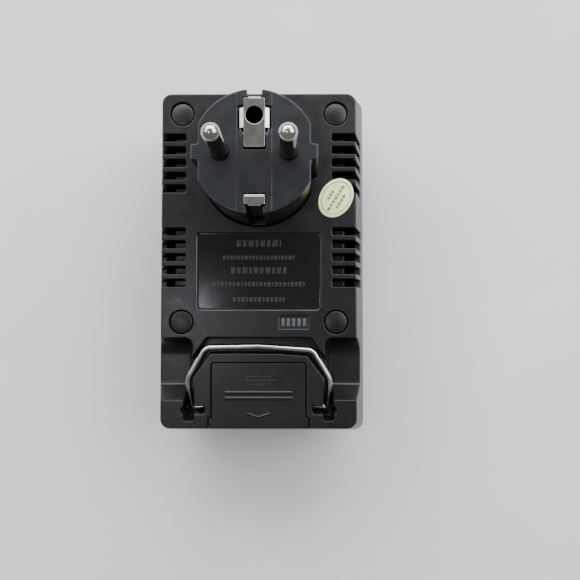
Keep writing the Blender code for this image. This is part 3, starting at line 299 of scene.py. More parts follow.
# ---- procedural materials
class Look:
    """A node material under construction: a Principled shader fed by noise in object space."""

    def __init__(self, name, metallic=0.0, ior=1.5, coat=0.0, coat_roughness=0.1, transmission=0.0):
        self.material = bpy.data.materials.new(name + "_look")
        self.material.use_nodes = True
        self.nodes = self.material.node_tree.nodes
        self.links = self.material.node_tree.links
        self.shader = self.nodes["Principled BSDF"]
        for socket, value in (("Metallic", metallic), ("IOR", ior), ("Coat Weight", coat),
                              ("Coat Roughness", coat_roughness), ("Transmission Weight", transmission)):
            self.shader.inputs[socket].default_value = value
        self.place = self.nodes.new("ShaderNodeTexCoord").outputs["Object"]
        self.height = None

    def node(self, kind, sockets, **settings):
        """A new node; each of its sockets is given a value, or another node's output."""
        node = self.nodes.new("ShaderNode" + kind)
        for key, value in settings.items():
            setattr(node, key, value)
        for key, value in sockets.items():
            if isinstance(value, bpy.types.NodeSocket):
                self.links.new(value, node.inputs[key])
            else:
                node.inputs[key].default_value = value
        return node

    def stretched(self, scale):
        return self.node("Mapping", {"Vector": self.place, "Scale": scale}).outputs["Vector"]

    def noise(self, scale, detail=3.0, roughness=0.55, vector=None):
        return self.node("TexNoise", {"Vector": vector or self.place, "Scale": scale, "Detail": detail,
                                      "Roughness": roughness}).outputs["Fac"]

    def wave(self, scale, axis, distortion):
        return self.node("TexWave", {"Vector": self.place, "Scale": scale, "Distortion": distortion},
                         bands_direction=axis).outputs["Fac"]

    def ramp(self, value, stops):
        node = self.node("ValToRGB", {"Fac": value})
        points = node.color_ramp.elements
        points[0].position = stops[0][0]
        points[1].position = stops[-1][0]
        for place, _ in stops[1:-1]:
            points.new(place)
        for point, (_, colour) in zip(points, stops):
            point.color = (*colour, 1.0)
        return node.outputs["Color"]

    def span(self, value, start, end, from_low=0.3, from_high=0.7):
        return self.node("MapRange", {"Value": value, "From Min": from_low, "From Max": from_high,
                                      "To Min": start, "To Max": end}).outputs["Result"]

    def math(self, operation, a, b=0.0):
        return self.node("Math", {0: a, 1: b}, operation=operation).outputs["Value"]

    def coordinate(self, axis, vector=None):
        return self.node("SeparateXYZ", {"Vector": vector or self.place}).outputs[axis]

    def within(self, axis, start, end):
        """One where a coordinate lies between two values, else nought."""
        place = self.coordinate(axis)
        return self.math("MULTIPLY", self.math("GREATER_THAN", place, start),
                         self.math("LESS_THAN", place, end))

    def mix(self, factor, a, b):
        a, b = ((*value, 1.0) if isinstance(value, tuple) else value for value in (a, b))
        return self.node("Mix", {"Factor": factor, "A": a, "B": b}, data_type="RGBA").outputs["Result"]

    def colour(self, value):
        self.links.new(value, self.shader.inputs["Base Color"])

    def roughness(self, value):
        self.links.new(value, self.shader.inputs["Roughness"])

    def bump(self, value, strength, distance):
        sockets = {"Strength": strength, "Distance": distance, "Height": value}
        if self.height:
            sockets["Normal"] = self.height
        self.height = self.node("Bump", sockets).outputs["Normal"]
        self.links.new(self.height, self.shader.inputs["Normal"])


def moulded_plastic(name, dark, light, rough, grain=0.35, grain_scale=3200, polished=None, ior=1.5):
    """Black moulding: fine spark texture, flow clouds, a little dust, perhaps one polished panel."""
    look = Look(name, ior=ior)
    base = look.ramp(look.noise(55, 4, 0.6), [(0.30, dark), (0.72, light)])
    dust = look.span(look.noise(5200, 2, 0.7), 0.0, 0.18, 0.66, 0.80)
    look.colour(look.mix(dust, base, (0.16, 0.16, 0.165)))
    roughness = look.math("ADD", look.span(look.noise(260, 4), *rough),
                          look.span(look.noise(4200, 2), -0.04, 0.06))
    if polished:
        inside = look.math("MULTIPLY", look.within("X", *polished[0]), look.within("Y", *polished[1]))
        roughness = look.math("MULTIPLY", roughness, look.span(inside, 1.0, 0.40, 0.0, 1.0))
    look.roughness(roughness)
    look.bump(look.noise(grain_scale, 3, 0.6), grain, 0.00003)
    look.bump(look.noise(120, 2), 0.15, 0.0001)
    return look.material


def plated_metal(name, dark, light, rough, grain_axis=(1, 1, 1), grain=0.10, painted_shade_top=None):
    """Bright plating with faint drawing lines and uneven tone, perhaps with painted shade below one level."""
    look = Look(name, metallic=1.0)
    tone = look.ramp(look.noise(160, 3), [(0.30, dark), (0.70, light)])
    if painted_shade_top:
        # painted shade: below this level the tone darkens towards the root, where the shaft reflects the
        # black plug face
        depth = look.span(look.coordinate("Z"), 0.85, 0.0, painted_shade_top - 0.0012, painted_shade_top)
        tone = look.mix(depth, tone, tuple(c * 0.30 for c in dark))
    look.colour(tone)
    lines = look.noise(5000, 3, 0.6, look.stretched(grain_axis))
    look.roughness(look.math("ADD", look.span(look.noise(420, 4), *rough), look.span(lines, -0.02, 0.04)))
    look.bump(lines, grain, 0.000004)
    return look.material


def mottled(name, dark, light, tone, gloss, rough, grain=None, **shader):
    """Two tones in soft patches under an uneven gloss; tone and gloss are a noise's scale and detail."""
    look = Look(name, **shader)
    look.colour(look.ramp(look.noise(*tone), [(0.3, dark), (0.7, light)]))
    look.roughness(look.span(look.noise(*gloss), *rough))
    if grain:
        scale, detail, strength, distance = grain
        look.bump(look.noise(scale, detail), strength, distance)
    return look


def printed_ink(name, dark, light):
    return mottled(name, dark, light, (1400, 3), (900, 2), (0.45, 0.65), (2500, 2, 0.2, 0.00002)).material


def wrapped_tape(name, dark, light):
    look = mottled(name, dark, light, (90, 3), (300, 3), (0.25, 0.42), coat=0.4, coat_roughness=0.15)
    look.bump(look.wave(180, "Z", 1.5), 0.3, 0.00006)
    return look.material


def varnished_laminations(name):
    """Edges of thin steel sheets, stacked along X, under brown varnish."""
    look = Look(name, metallic=0.85, coat=0.3, coat_roughness=0.25)
    sheets = look.wave(1250, "X", 0.6)
    look.colour(look.mix(look.span(look.noise(300, 4), 0.0, 1.0),
                         look.ramp(sheets, [(0.35, (0.05, 0.05, 0.055)), (0.6, (0.20, 0.19, 0.19))]),
                         (0.10, 0.075, 0.05)))
    look.roughness(look.span(look.noise(800, 3), 0.35, 0.60))
    look.bump(sheets, 0.5, 0.00005)
    return look.material


def wound_copper(name, dark, light):
    """Turns of enamelled wire laid side by side along Z, with painted shade in the grooves between them."""
    look = Look(name, metallic=0.7, coat=0.5, coat_roughness=0.15)
    turns = look.wave(560, "Z", 0.35)
    # painted shade: dark in the grooves between turns, lighter on their crowns
    look.colour(look.mix(look.span(look.noise(500, 3), 0.0, 0.6),
                         look.ramp(turns, [(0.2, dark), (0.75, light)]), dark))
    look.roughness(look.span(look.noise(1500, 3), 0.22, 0.40))
    look.bump(turns, 0.9, 0.0002)
    return look.material


def coated_paper(name, centre, lean, half_long, half_short):
    """Pale green label with a darker printed border line that follows its oval outline."""
    look = Look(name, coat=0.15, coat_roughness=0.2)
    own = look.node("Mapping", {"Vector": look.place, "Location": (centre[0], centre[1], 0),
                                "Rotation": (0, 0, lean), "Scale": (half_long, half_short, 1)},
                    vector_type="TEXTURE")
    squares = [look.math("POWER", look.coordinate(axis, own.outputs["Vector"]), 2.0) for axis in "XY"]
    radius = look.math("SQRT", look.math("ADD", *squares))
    paper = look.ramp(look.noise(260, 4), [(0.3, (0.84, 1.0, 0.42)), (0.7, (0.93, 1.0, 0.54))])
    off, on = (0, 0, 0), (1, 1, 1)
    line = look.ramp(radius, [(0.79, off), (0.81, on), (0.85, on), (0.87, off)])
    look.colour(look.mix(look.math("MULTIPLY", line, 0.85), paper, (0.22, 0.30, 0.12)))
    look.roughness(look.span(look.noise(800, 3), 0.32, 0.48))
    look.bump(look.noise(1500, 4), 0.25, 0.00003)
    return look.material


BLACK = ((0.0050, 0.0054, 0.0060), (0.0085, 0.0090, 0.0102))
MATERIALS = {
    "case_plastic": moulded_plastic("case_plastic", *BLACK, (0.28, 0.38), ior=1.39,
                                    polished=((-PANEL_HALF_X, PANEL_HALF_X), PANEL_Y)),
    # bluish and a little lighter than the case: painted reflection of the ceiling on the plug's face
    "plug_plastic": moulded_plastic("plug_plastic", (0.0085, 0.0100, 0.0120), (0.0130, 0.0150, 0.0180),
                                    (0.27, 0.36), 0.30, 3600, ior=1.42),
    "nickel": plated_metal("nickel", (0.44, 0.42, 0.37), (0.58, 0.56, 0.51), (0.13, 0.20)),
    "bail_steel": plated_metal("bail_steel", (0.46, 0.42, 0.37), (0.62, 0.58, 0.53), (0.16, 0.24),
                               (0.12, 1, 1), 0.12),
    "screw_steel": plated_metal("screw_steel", (0.38, 0.39, 0.40), (0.56, 0.56, 0.56), (0.28, 0.42)),
    "brass": plated_metal("brass", (0.60, 0.43, 0.18), (0.78, 0.60, 0.30), (0.22, 0.36)),
    "lamination": varnished_laminations("lamination"),
    "copper_enamel": wound_copper("copper_enamel", (0.24, 0.08, 0.03), (0.62, 0.26, 0.11)),
    "bobbin_plastic": mottled("bobbin_plastic", (0.66, 0.63, 0.54), (0.80, 0.78, 0.70), (200, 3),
                              (700, 3), (0.42, 0.58), (2600, 3, 0.25, 0.00003)).material,
    "tape": wrapped_tape("tape", (0.58, 0.44, 0.06), (0.78, 0.64, 0.14)),
    "glass": mottled("glass", (0.90, 0.93, 0.93), (0.97, 0.98, 0.98), (200, 2), (500, 2),
                     (0.02, 0.08), transmission=0.95).material,
    "label_paper": coated_paper("label_paper", STICKER, STICKER_LEAN, STICKER_LONG, STICKER_SHORT),
}
for wire, wire_dark, wire_light in (("wire_red", (0.36, 0.015, 0.015), (0.55, 0.03, 0.03)),
                                    ("wire_white", (0.62, 0.62, 0.58), (0.80, 0.80, 0.77)),
                                    ("wire_green", (0.06, 0.24, 0.05), (0.13, 0.38, 0.09)),
                                    ("wire_black", (0.02, 0.02, 0.02), (0.04, 0.04, 0.04))):
    MATERIALS[wire] = mottled(wire, wire_dark, wire_light, (400, 3), (900, 3), (0.38, 0.55),
                              (1800, 2, 0.2, 0.00003)).material
# the pins carry painted shade on their shafts, below the dome
PIN_METAL = plated_metal("pin", (0.42, 0.39, 0.34), (0.54, 0.51, 0.46), (0.14, 0.20),
                         painted_shade_top=PIN_TOP_Z - PIN_DOME)
FRONT_PLASTIC = moulded_plastic("front_plastic", *BLACK, (0.46, 0.56))
# the marks are the case's own plastic painted a little lighter: painted sheen for the light their edges catch
MARKS_PAINTED_SHEEN = moulded_plastic("marks_painted_sheen", (0.009, 0.010, 0.011), (0.014, 0.015, 0.017),
                               (0.34, 0.42))
GREEN_INK = printed_ink("green_ink", (0.13, 0.20, 0.06), (0.22, 0.30, 0.12))
PALE_INK = printed_ink("pale_ink", (0.042, 0.052, 0.056), (0.064, 0.077, 0.084))


# ---- modelling tools
def mesh_from(bm, name, sharp=30):
    mesh = bpy.data.meshes.new(name)
    bmesh.ops.recalc_face_normals(bm, faces=bm.faces)
    bm.to_mesh(mesh)
    bm.free()
    mesh.shade_smooth()
    mesh.set_sharp_from_angle(angle=math.radians(sharp))
    return mesh


def put(name, mesh):
    obj = bpy.data.objects.new(name, mesh)
    bpy.context.scene.collection.objects.link(obj)
    return obj


def settled(obj):
    """The mesh of an object with its modifiers applied."""
    return bpy.data.meshes.new_from_object(obj.evaluated_get(bpy.context.evaluated_depsgraph_get()))


def combine(target, operation, *others):
    for other in others:
        modifier = target.modifiers.new(other.name, "BOOLEAN")
        modifier.operation = operation
        modifier.solver = "EXACT"
        modifier.object = other
    return target


def cut(target, *others):
    return combine(target, "DIFFERENCE", *others)


def join(target, *others):
    return combine(target, "UNION", *others)


def rounded(bm, edges, radius, segments, profile=0.5):
    bmesh.ops.bevel(bm, geom=edges, offset=radius, segments=segments, profile=profile, affect="EDGES")


def box(name, start, end, corner=0.0):
    """A box between two opposite corners; its upright edges may be rounded."""
    start, end = Vector(start), Vector(end)
    bm = bmesh.new()
    bmesh.ops.create_cube(bm, size=1.0)
    bmesh.ops.scale(bm, vec=end - start, verts=bm.verts)
    bmesh.ops.translate(bm, vec=(end + start) / 2, verts=bm.verts)
    if corner:
        rounded(bm, [e for e in bm.edges
                     if abs((e.verts[0].co - e.verts[1].co).normalized().z) > 0.99], corner, 10)
    return put(name, mesh_from(bm, name))


def wide(name, half_x, y, z, corner=0.0, x=0.0):
    """A box of one half width about an x, between two y and two z."""
    return box(name, (x - half_x, y[0], z[0]), (x + half_x, y[1], z[1]), corner)


def case_solid(name, base, top, corner, rounded_z=None, rounding=0.0):
    """A rounded block between two levels, each (z, half_x, half_y); one rim may be rounded over."""
    bm = bmesh.new()
    bmesh.ops.create_cube(bm, size=2.0)
    bmesh.ops.scale(bm, vec=(top[1], top[2], (top[0] - base[0]) / 2), verts=bm.verts)
    bmesh.ops.translate(bm, vec=(0, 0, (top[0] + base[0]) / 2), verts=bm.verts)
    rounded(bm, [e for e in bm.edges if abs(e.verts[0].co.z - e.verts[1].co.z) > 1e-5], corner, 16)
    for vert in bm.verts:
        if abs(vert.co.z - base[0]) < 1e-6:
            vert.co.x *= base[1] / top[1]
            vert.co.y *= base[2] / top[2]
    if rounding:
        rounded(bm, [e for e in bm.edges if all(abs(v.co.z - rounded_z) < 1e-6 for v in e.verts)],
                rounding, 8)
    return put(name, mesh_from(bm, name))


def cylinder(name, radius, centre, low_z, high_z, segments=72):
    """An upright cylinder between two levels."""
    low_end, high_end = (Vector((centre[0], centre[1], z)) for z in (low_z, high_z))
    bm = bmesh.new()
    bmesh.ops.create_cone(bm, cap_ends=True, segments=segments, radius1=radius, radius2=radius,
                          depth=(high_end - low_end).length)
    bmesh.ops.translate(bm, vec=(low_end + high_end) / 2, verts=bm.verts)
    return put(name, mesh_from(bm, name))


def turned(name, profile, centre, segments=96, closed=False):
    """A turned solid about an upright axis; the profile runs from its top down its outside."""
    bm = bmesh.new()
    verts = [bm.verts.new((radius, 0, z)) for radius, z in profile]
    edges = [bm.edges.new(pair) for pair in zip(verts, verts[1:] + verts[:closed])]
    bmesh.ops.spin(bm, geom=verts + edges, cent=(0, 0, 0), axis=(0, 0, 1), angle=2 * math.pi,
                   steps=segments, use_merge=True)
    bmesh.ops.remove_doubles(bm, verts=bm.verts, dist=1e-7)
    bmesh.ops.translate(bm, vec=(centre[0], centre[1], 0), verts=bm.verts)
    return put(name, mesh_from(bm, name, 25))


def dome(radius, top_z, height, steps=12):
    curve = (radius * radius + height * height) / (2 * height)
    return [(radius * i / steps, top_z - curve + math.sqrt(curve * curve - (radius * i / steps) ** 2))
            for i in range(steps + 1)]


def polyline(name, points, dimensions, closed, merge, **settings):
    """The bmesh of a polyline curve with the given curve settings."""
    curve = bpy.data.curves.new(name, "CURVE")
    curve.dimensions = dimensions
    for key, value in settings.items():
        setattr(curve, key, value)
    spline = curve.splines.new("POLY")
    spline.points.add(len(points) - 1)
    for point, place in zip(spline.points, points):
        point.co = (*place, 1)
    spline.use_cyclic_u = closed
    holder = put(name, curve)
    bm = bmesh.new()
    bm.from_mesh(settled(holder))
    bpy.data.objects.remove(holder)
    bmesh.ops.remove_doubles(bm, verts=bm.verts, dist=merge)
    return bm


def prism(name, outline, start, end, axis="Z"):
    """A flat outline made solid along one axis; in (x, y) for Z, (y, z) for X and (z, x) for Y."""
    bm = polyline(name, [(a, b, 0) for a, b in outline], "2D", True, 1e-6, fill_mode="BOTH",
                  extrude=(end - start) / 2)
    bmesh.ops.translate(bm, vec=(0, 0, (end + start) / 2), verts=bm.verts)
    turns = {"Z": ((1, 0, 0), (0, 1, 0), (0, 0, 1)),
             "X": ((0, 0, 1), (1, 0, 0), (0, 1, 0)),
             "Y": ((0, 1, 0), (0, 0, 1), (1, 0, 0))}
    bmesh.ops.transform(bm, matrix=Matrix(turns[axis]).to_4x4(), verts=bm.verts)
    return put(name, mesh_from(bm, name))


def tube(name, path, radius, sides):
    """A round wire along a path, with closed ends."""
    bm = polyline(name, path, "3D", False, 1e-7, bevel_depth=radius, bevel_resolution=sides,
                  use_fill_caps=True)
    return put(name, mesh_from(bm, name, 40))


def mirrored(points):
    return list(points) + [(-x, y) for x, y in reversed(points) if x]


def rounded_path(points, radius, steps=12, closed=False):
    """A polyline in space with its corners turned into arcs, of one radius or one each."""
    points = [Vector(p) for p in points]
    ring = [points[-1]] + points + [points[0]] if closed else points
    radii = [radius] * len(ring) if isinstance(radius, float) else radius
    path = [] if closed else [points[0]]
    for before, here, after, radius in zip(ring, ring[1:], ring[2:], radii):
        to_before = (before - here).normalized()
        to_after = (after - here).normalized()
        half = to_before.angle(to_after) / 2
        if math.pi / 2 - half < 0.01:
            path.append(here)
            continue
        reach = radius / math.tan(half)
        centre = here + (to_before + to_after).normalized() * radius / math.sin(half)
        first = (here + to_before * reach - centre).normalized()
        last = (here + to_after * reach - centre).normalized()
        path += [centre + first.slerp(last, i / steps) * radius for i in range(steps + 1)]
    return path if closed else path + [points[-1]]


def rounded_outline(points, radius, steps=8, closed=True):
    return [(p.x, p.y) for p in rounded_path([(a, b, 0) for a, b in points], radius, steps, closed)]


def strip_outline(path, thickness):
    """The outline of a bent strip that follows a flat path, half its thickness each side."""
    left, right = [], []
    for i, (a, b) in enumerate(path):
        along = (Vector(path[min(i + 1, len(path) - 1)]) - Vector(path[max(i - 1, 0)])).normalized()
        side = Vector((-along.y, along.x)) * thickness / 2
        left.append((a + side.x, b + side.y))
        right.append((a - side.x, b - side.y))
    return left + right[::-1]


def arc(degrees, steps, count):
    """The first angles of an arc that is divided evenly, in radians."""
    return (math.radians(degrees * i / steps) for i in range(count))


def moulded(name, rough, voxel, keep, levels=()):
    """Turns a rough solid with its Boolean cuts into one fine mesh with small radii on its edges.
    A flat face at one of the levels is made exactly flat."""
    remesh = rough.modifiers.new("remesh", "REMESH")
    remesh.mode = "VOXEL"
    remesh.voxel_size = voxel
    soft = rough.modifiers.new("soft", "SMOOTH")
    soft.factor = 0.5
    soft.iterations = 2
    thin = rough.modifiers.new("thin", "DECIMATE")
    thin.ratio = keep
    mesh = settled(rough)
    mesh.materials.clear()
    mesh.shade_smooth()
    for vert in mesh.vertices:
        for level in levels:
            if abs(vert.co.z - level) < LEVEL_REACH:
                vert.co.z = level
    piece = put(name, mesh)
    piece.modifiers.new("level_faces", "WEIGHTED_NORMAL")
    return piece


def clear_tools():
    """Removes the solids that were only there to cut, to join or to be remeshed."""
    for obj in list(bpy.data.objects):
        if obj.name.startswith("tool_"):
            bpy.data.objects.remove(obj)


def finish_piece(obj, slot, body, *nodes, material=None):
    obj.data.materials.clear()
    obj.data.materials.append(material or MATERIALS[slot])
    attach(obj, body)
    if nodes:
        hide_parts(*nodes)


# ---- shared outlines
def wall_half(z, face_half):
    return face_half + WALL_SLOPE * (FACE_Z - z)


def wall_level(z, inset=0.0):
    """A level of the sloping side walls for case_solid, set in by a margin."""
    return (z, wall_half(z, FACE_HALF_X) - inset, wall_half(z, FACE_HALF_Y) - inset)


def on_side(side, *places):
    """Places on one side of the middle, lowest first."""
    return sorted(side * place for place in places)


def plug_outline(name, grow, low_z, high_z):
    half_y, far = PLUG_EAR_HALF_Y + grow, 0.03
    body = cylinder(name, PLUG_RADIUS + grow, (0, PLUG_Y), low_z, high_z, 160)
    combine(body, "INTERSECT", wide(name + "_flats", PLUG_FLAT_X + grow, (PLUG_Y - far, PLUG_Y + far),
                                    (low_z - 0.001, high_z + 0.001)))
    return join(body, wide(name + "_ears", PLUG_EAR_X + grow, (PLUG_Y - half_y, PLUG_Y + half_y),
                           (low_z + OFF_PLANE, high_z - OFF_PLANE)))


# ---- rear half of the case
def vent_slots(side):
    ledge_z = FACE_Z - VENT_LEDGE_DEEP
    low_z = FACE_Z - VENT_WALL_DEEP
    corners = ((ABOVE, VENT_INNER_X), (ledge_z, VENT_INNER_X), (ledge_z, VENT_LEDGE_X),
               (low_z, VENT_LEDGE_X), (low_z, SIDE), (ABOVE, SIDE))
    outline = [(z, side * x) for z, x in corners]
    tops = [top - i * VENT_PITCH for top in VENT_TOPS for i in range(VENT_COUNT)]
    return [prism("tool_vent", outline, top - VENT_HIGH, top, "Y") for top in tops]


def rear_cavity():
    cavity = case_solid("tool_rear_cavity", wall_level(CAVITY_Z[0], WALL),
                        wall_level(FACE_Z - FACE_THICK, WALL), CORNER - WALL)
    cut(cavity, wide("tool_deck", SIDE, (FAR_LOW_Y, DECK_TOP_Y), (DECK_LOW_Z, CAVITY_Z[1])))
    for place in SCREWS:
        cut(cavity, cylinder("tool_boss", BOSS_RADIUS, place, BOSS_LOW_Z, CAVITY_Z[1], 48))
    for side in (-1, 1):
        ends = on_side(side, VENT_INNER_X - LEDGE_WALL, VENT_LEDGE_X + 0.0006)
        for top in VENT_TOPS:
            cut(cavity, box("tool_ledge", (ends[0], top - VENT_COUNT * VENT_PITCH,
                                           FACE_Z - VENT_LEDGE_DEEP - LEDGE_WALL),
                            (ends[1], top + 0.0012, CAVITY_Z[1])))
    return cavity


def bail_channel():
    """The groove round the block that carries the fuse door."""
    groove = prism("tool_channel", rounded_outline(mirrored(CHANNEL_OUTER), CHANNEL_CORNER),
                   CHANNEL_FLOOR_Z, ABOVE)
    return cut(groove, prism("tool_block", rounded_outline(BLOCK, BLOCK_CORNER), CHANNEL_FLOOR_Z - 0.001,
                             ABOVE + 0.001))


def finger_scoop(side):
    """A steep hollow at its upper end, a flat floor, and a ramp with a crest at its lower end."""
    deep = FACE_Z - SCOOP_FLOOR_Z
    steep = [(SCOOP_TOP_Y - SCOOP_STEEP + SCOOP_STEEP * math.cos(a), FACE_Z - deep * math.sin(a))
             for a in arc(90, 14, 15)]
    ramp = rounded_outline([(steep[-1][0] - 0.001, SCOOP_FLOOR_Z), (SCOOP_RAMP_Y, SCOOP_FLOOR_Z),
                            (SCOOP_CREST_Y, FACE_Z)], SCOOP_BEND, closed=False)
    outline = [(SCOOP_TOP_Y, ABOVE), *steep, *ramp, (SCOOP_CREST_Y - 0.0008, ABOVE)]
    ends = on_side(side, SCOOP_INNER_X, SCOOP_OUTER_X)
    scoop = prism("tool_scoop", outline, *ends, "X")
    for vert in scoop.data.vertices:
        if abs(vert.co.x) < (SCOOP_INNER_X + SCOOP_OUTER_X) / 2:
            vert.co.x = side * (SCOOP_INNER_X + (FACE_Z - vert.co.z) * SCOOP_INNER_LEAN)
    plan = box("tool_scoop_plan", (ends[0], SCOOP_PLAN_Y, SCOOP_PLAN_Z),
               (ends[1], SCOOP_TOP_Y + OFF_PLANE, ABOVE + 0.001), SCOOP_CORNER)
    return combine(scoop, "INTERSECT", plan)


def pivot_slots(side):
    tools = []
    for across, along, floor_z, corner in PIVOT_SLOTS:
        ends = on_side(side, *across)
        tools.append(box("tool_slot", (ends[0], along[0], floor_z), (ends[1], along[1], ABOVE), corner))
    return tools


def door_outline(grow, low_y):
    half_x = DOOR_HALF_X + grow
    top_y = DOOR_TOP_Y + grow
    return rounded_outline([(half_x, low_y), (half_x, top_y), (-half_x, top_y), (-half_x, low_y)],
                           DOOR_CORNER + grow, closed=False)


def fuse_bay():
    step = DOOR_STEP_HALF_X + GAP
    plate_z = DOOR_TOP_Z - DOOR_THICK - GAP
    groove_z = plate_z + DOOR_RAIL_HIGH + 2 * GAP
    return [prism("tool_bay_opening", door_outline(GAP, FAR_LOW_Y), plate_z, ABOVE),
            wide("tool_bay_step", step, (FAR_LOW_Y, DOOR_STEP_Y + GAP), (plate_z, ABOVE)),
            wide("tool_bay_grooves", step, (FAR_LOW_Y, DOOR_TOP_Y - 0.001), (plate_z, groove_z)),
            wide("tool_bay_skirt", step, (FAR_LOW_Y, DOOR_SKIRT_Y + GAP), (DOOR_SKIRT_Z - GAP, groove_z)),
            wide("tool_bay_space", BAY_HALF_X, BAY_Y, (BAY_FLOOR_Z, groove_z))]


def rear_case():
    shell = case_solid("tool_rear", wall_level(PART_Z + GAP / 2), wall_level(FACE_Z), CORNER, FACE_Z, RIM)
    rebate = case_solid("tool_rebate", wall_level(PART_Z - 0.0015, TONGUE),
                        wall_level(PART_Z + TONGUE_HIGH + GAP, TONGUE), CORNER - TONGUE)
    panel = wide("tool_panel", PANEL_HALF_X, PANEL_Y, (FACE_Z - PANEL_DEEP, ABOVE), PANEL_CORNER)
    number = box("tool_number", (NUMBER_X[0], NUMBER_Y[0], FACE_Z - NUMBER_DEEP),
                 (NUMBER_X[1], NUMBER_Y[1], ABOVE))
    cut(shell, rear_cavity(), rebate, plug_outline("tool_plug_hole", GAP, PLUG_HOLE_LOW_Z, ABOVE), panel,
        number, bail_channel(), *fuse_bay())
    for side in (-1, 1):
        cut(shell, finger_scoop(side), *pivot_slots(side), *vent_slots(side))
    for place in SCREWS:
        for radius, low_z in ((CAP_RECESS_RADIUS, FACE_Z - CAP_RECESS_DEEP),
                              (SCREW_HEAD_RADIUS, SCREW_SEAT_Z), (SCREW_BORE_RADIUS, TONGUE_ROOT_Z)):
            cut(shell, cylinder("tool_bore", radius, place, low_z, ABOVE))
    finish_piece(moulded("rear_case", shell, FINE, 0.22, (FACE_Z,)), "case_plastic", "case", "rear_shell")


# ---- front half of the case
def front_case():
    top_z = PART_Z - GAP / 2
    shell = case_solid("tool_front", (0.0, FRONT_HALF_X, FRONT_HALF_Y), wall_level(top_z),
                       FRONT_CORNER, 0.0, FRONT_RIM)
    cavity = case_solid("tool_front_cavity", (FACE_THICK, FRONT_HALF_X - WALL, FRONT_HALF_Y - WALL),
                        wall_level(PART_Z + 0.002, WALL), CORNER - WALL)
    foot_z = low("core_clamp_low").z - GAP
    for place in SCREWS:
        cut(cavity, cylinder("tool_boss", FRONT_BOSS_RADIUS, place, POST_ROOT_Z, top_z, 48))
    for place in CLAMP_SCREWS:
        cut(cavity, cylinder("tool_stand", STAND_RADIUS, place, POST_ROOT_Z, foot_z, 40))
    join(shell, case_solid("tool_tongue", wall_level(TONGUE_ROOT_Z, TONGUE + GAP),
                           wall_level(PART_Z + TONGUE_HIGH, TONGUE + GAP), CORNER - TONGUE - GAP))
    cut(shell, cavity, wide("tool_outlet_hole", OUTLET_HALF_X + GAP,
                            (OUTLET.y - OUTLET_HALF_Y - GAP, OUTLET.y + OUTLET_HALF_Y + GAP),
                            (OUTLET_OUT_Z, 0.004), OUTLET_HOLE_CORNER))
    for place in SCREWS:
        cut(shell, cylinder("tool_pilot", SCREW_BORE_RADIUS, place, *PILOT_Z, 40))
    for place in CLAMP_SCREWS:
        cut(shell, cylinder("tool_pilot", CLAMP_PILOT_RADIUS, place, *CLAMP_PILOT_Z, 32))
    finish_piece(moulded("front_case", shell, FINE * 1.3, 0.18, (0.0,)), "case_plastic", "case",
                 "front_shell", material=FRONT_PLASTIC)


# ---- marks moulded in or printed
def bars(name, places, floor_z, height):
    """Small bars raised from a floor, each (low_x, low_y, high_x, high_y), as one mesh."""
    low_z, high_z = floor_z - MARK_SINK, floor_z + height
    bm = bmesh.new()
    for x0, y0, x1, y1 in places:
        part = bmesh.ops.create_cube(bm, size=1.0)["verts"]
        bmesh.ops.scale(bm, vec=(x1 - x0, y1 - y0, high_z - low_z), verts=part)
        bmesh.ops.translate(bm, vec=((x0 + x1) / 2, (y0 + y1) / 2, (low_z + high_z) / 2), verts=part)
    top = [e for e in bm.edges if all(v.co.z > (low_z + high_z) / 2 for v in e.verts)
           or abs(e.verts[0].co.z - e.verts[1].co.z) > 1e-6]
    rounded(bm, top, (high_z - low_z) * 0.4, 2, 0.6)
    return put(name, mesh_from(bm, name))


def dashes(half_width, y, height, stroke, space, lengths):
    """Places of blocks in one line of a text-like pattern, centred on x = 0."""
    places = []
    x = -half_width
    while x < half_width - stroke:
        length = min(lengths[len(places) % len(lengths)], half_width - x)
        places.append((x, y - height / 2, x + length, y + height / 2))
        x += length + space
    return places


def panel_marks():
    """Lines of plain raised blocks where the original carries moulded text."""
    places = []
    for half_width, y, height in PANEL_LINES:
        size = height * 0.62
        places += dashes(half_width, y, height, 0.0004, size * 0.42,
                         (size, size * 0.8, size * 1.1, size * 0.6))
    finish_piece(bars("panel_marks", places, FACE_Z - PANEL_DEEP, PANEL_MARK_HIGH), "case_plastic", "case",
                 material=MARKS_PAINTED_SHEEN)


def number_marks():
    """Five plain pale bars in the small recess, in place of a number."""
    middles = [NUMBER_MIDDLE_X + (i - NUMBER_COUNT // 2) * NUMBER_PITCH for i in range(NUMBER_COUNT)]
    places = [(x - NUMBER_BAR_HALF_X, NUMBER_BAR_Y[0], x + NUMBER_BAR_HALF_X, NUMBER_BAR_Y[1])
              for x in middles]
    finish_piece(bars("number_marks", places, FACE_Z - NUMBER_DEEP, NUMBER_HIGH), "case_plastic", "case",
                 material=PALE_INK)


# ---- screw covers
def screw_caps():
    seat_z = FACE_Z - CAP_RECESS_DEEP + GAP
    for i, place in enumerate(SCREWS, 1):
        rim_z = high(f"screw_cap_{i}").z - CAP_CROWN
        foot_z = low(f"screw_cap_{i}").z
        profile = (dome(CAP_RADIUS - CAP_EDGE, rim_z + CAP_CROWN, CAP_CROWN)
                   + [(CAP_RADIUS - 0.00006, rim_z - 0.00006), (CAP_RADIUS, rim_z - CAP_EDGE),
                      (CAP_RADIUS, seat_z), (CAP_STEM_RADIUS, seat_z), (CAP_STEM_RADIUS, foot_z + 0.0003),
                      (CAP_STEM_RADIUS - 0.0003, foot_z), (0.0, foot_z)])
        finish_piece(turned(f"screw_cover_{i}", profile, place), "case_plastic", "case", f"screw_cap_{i}")


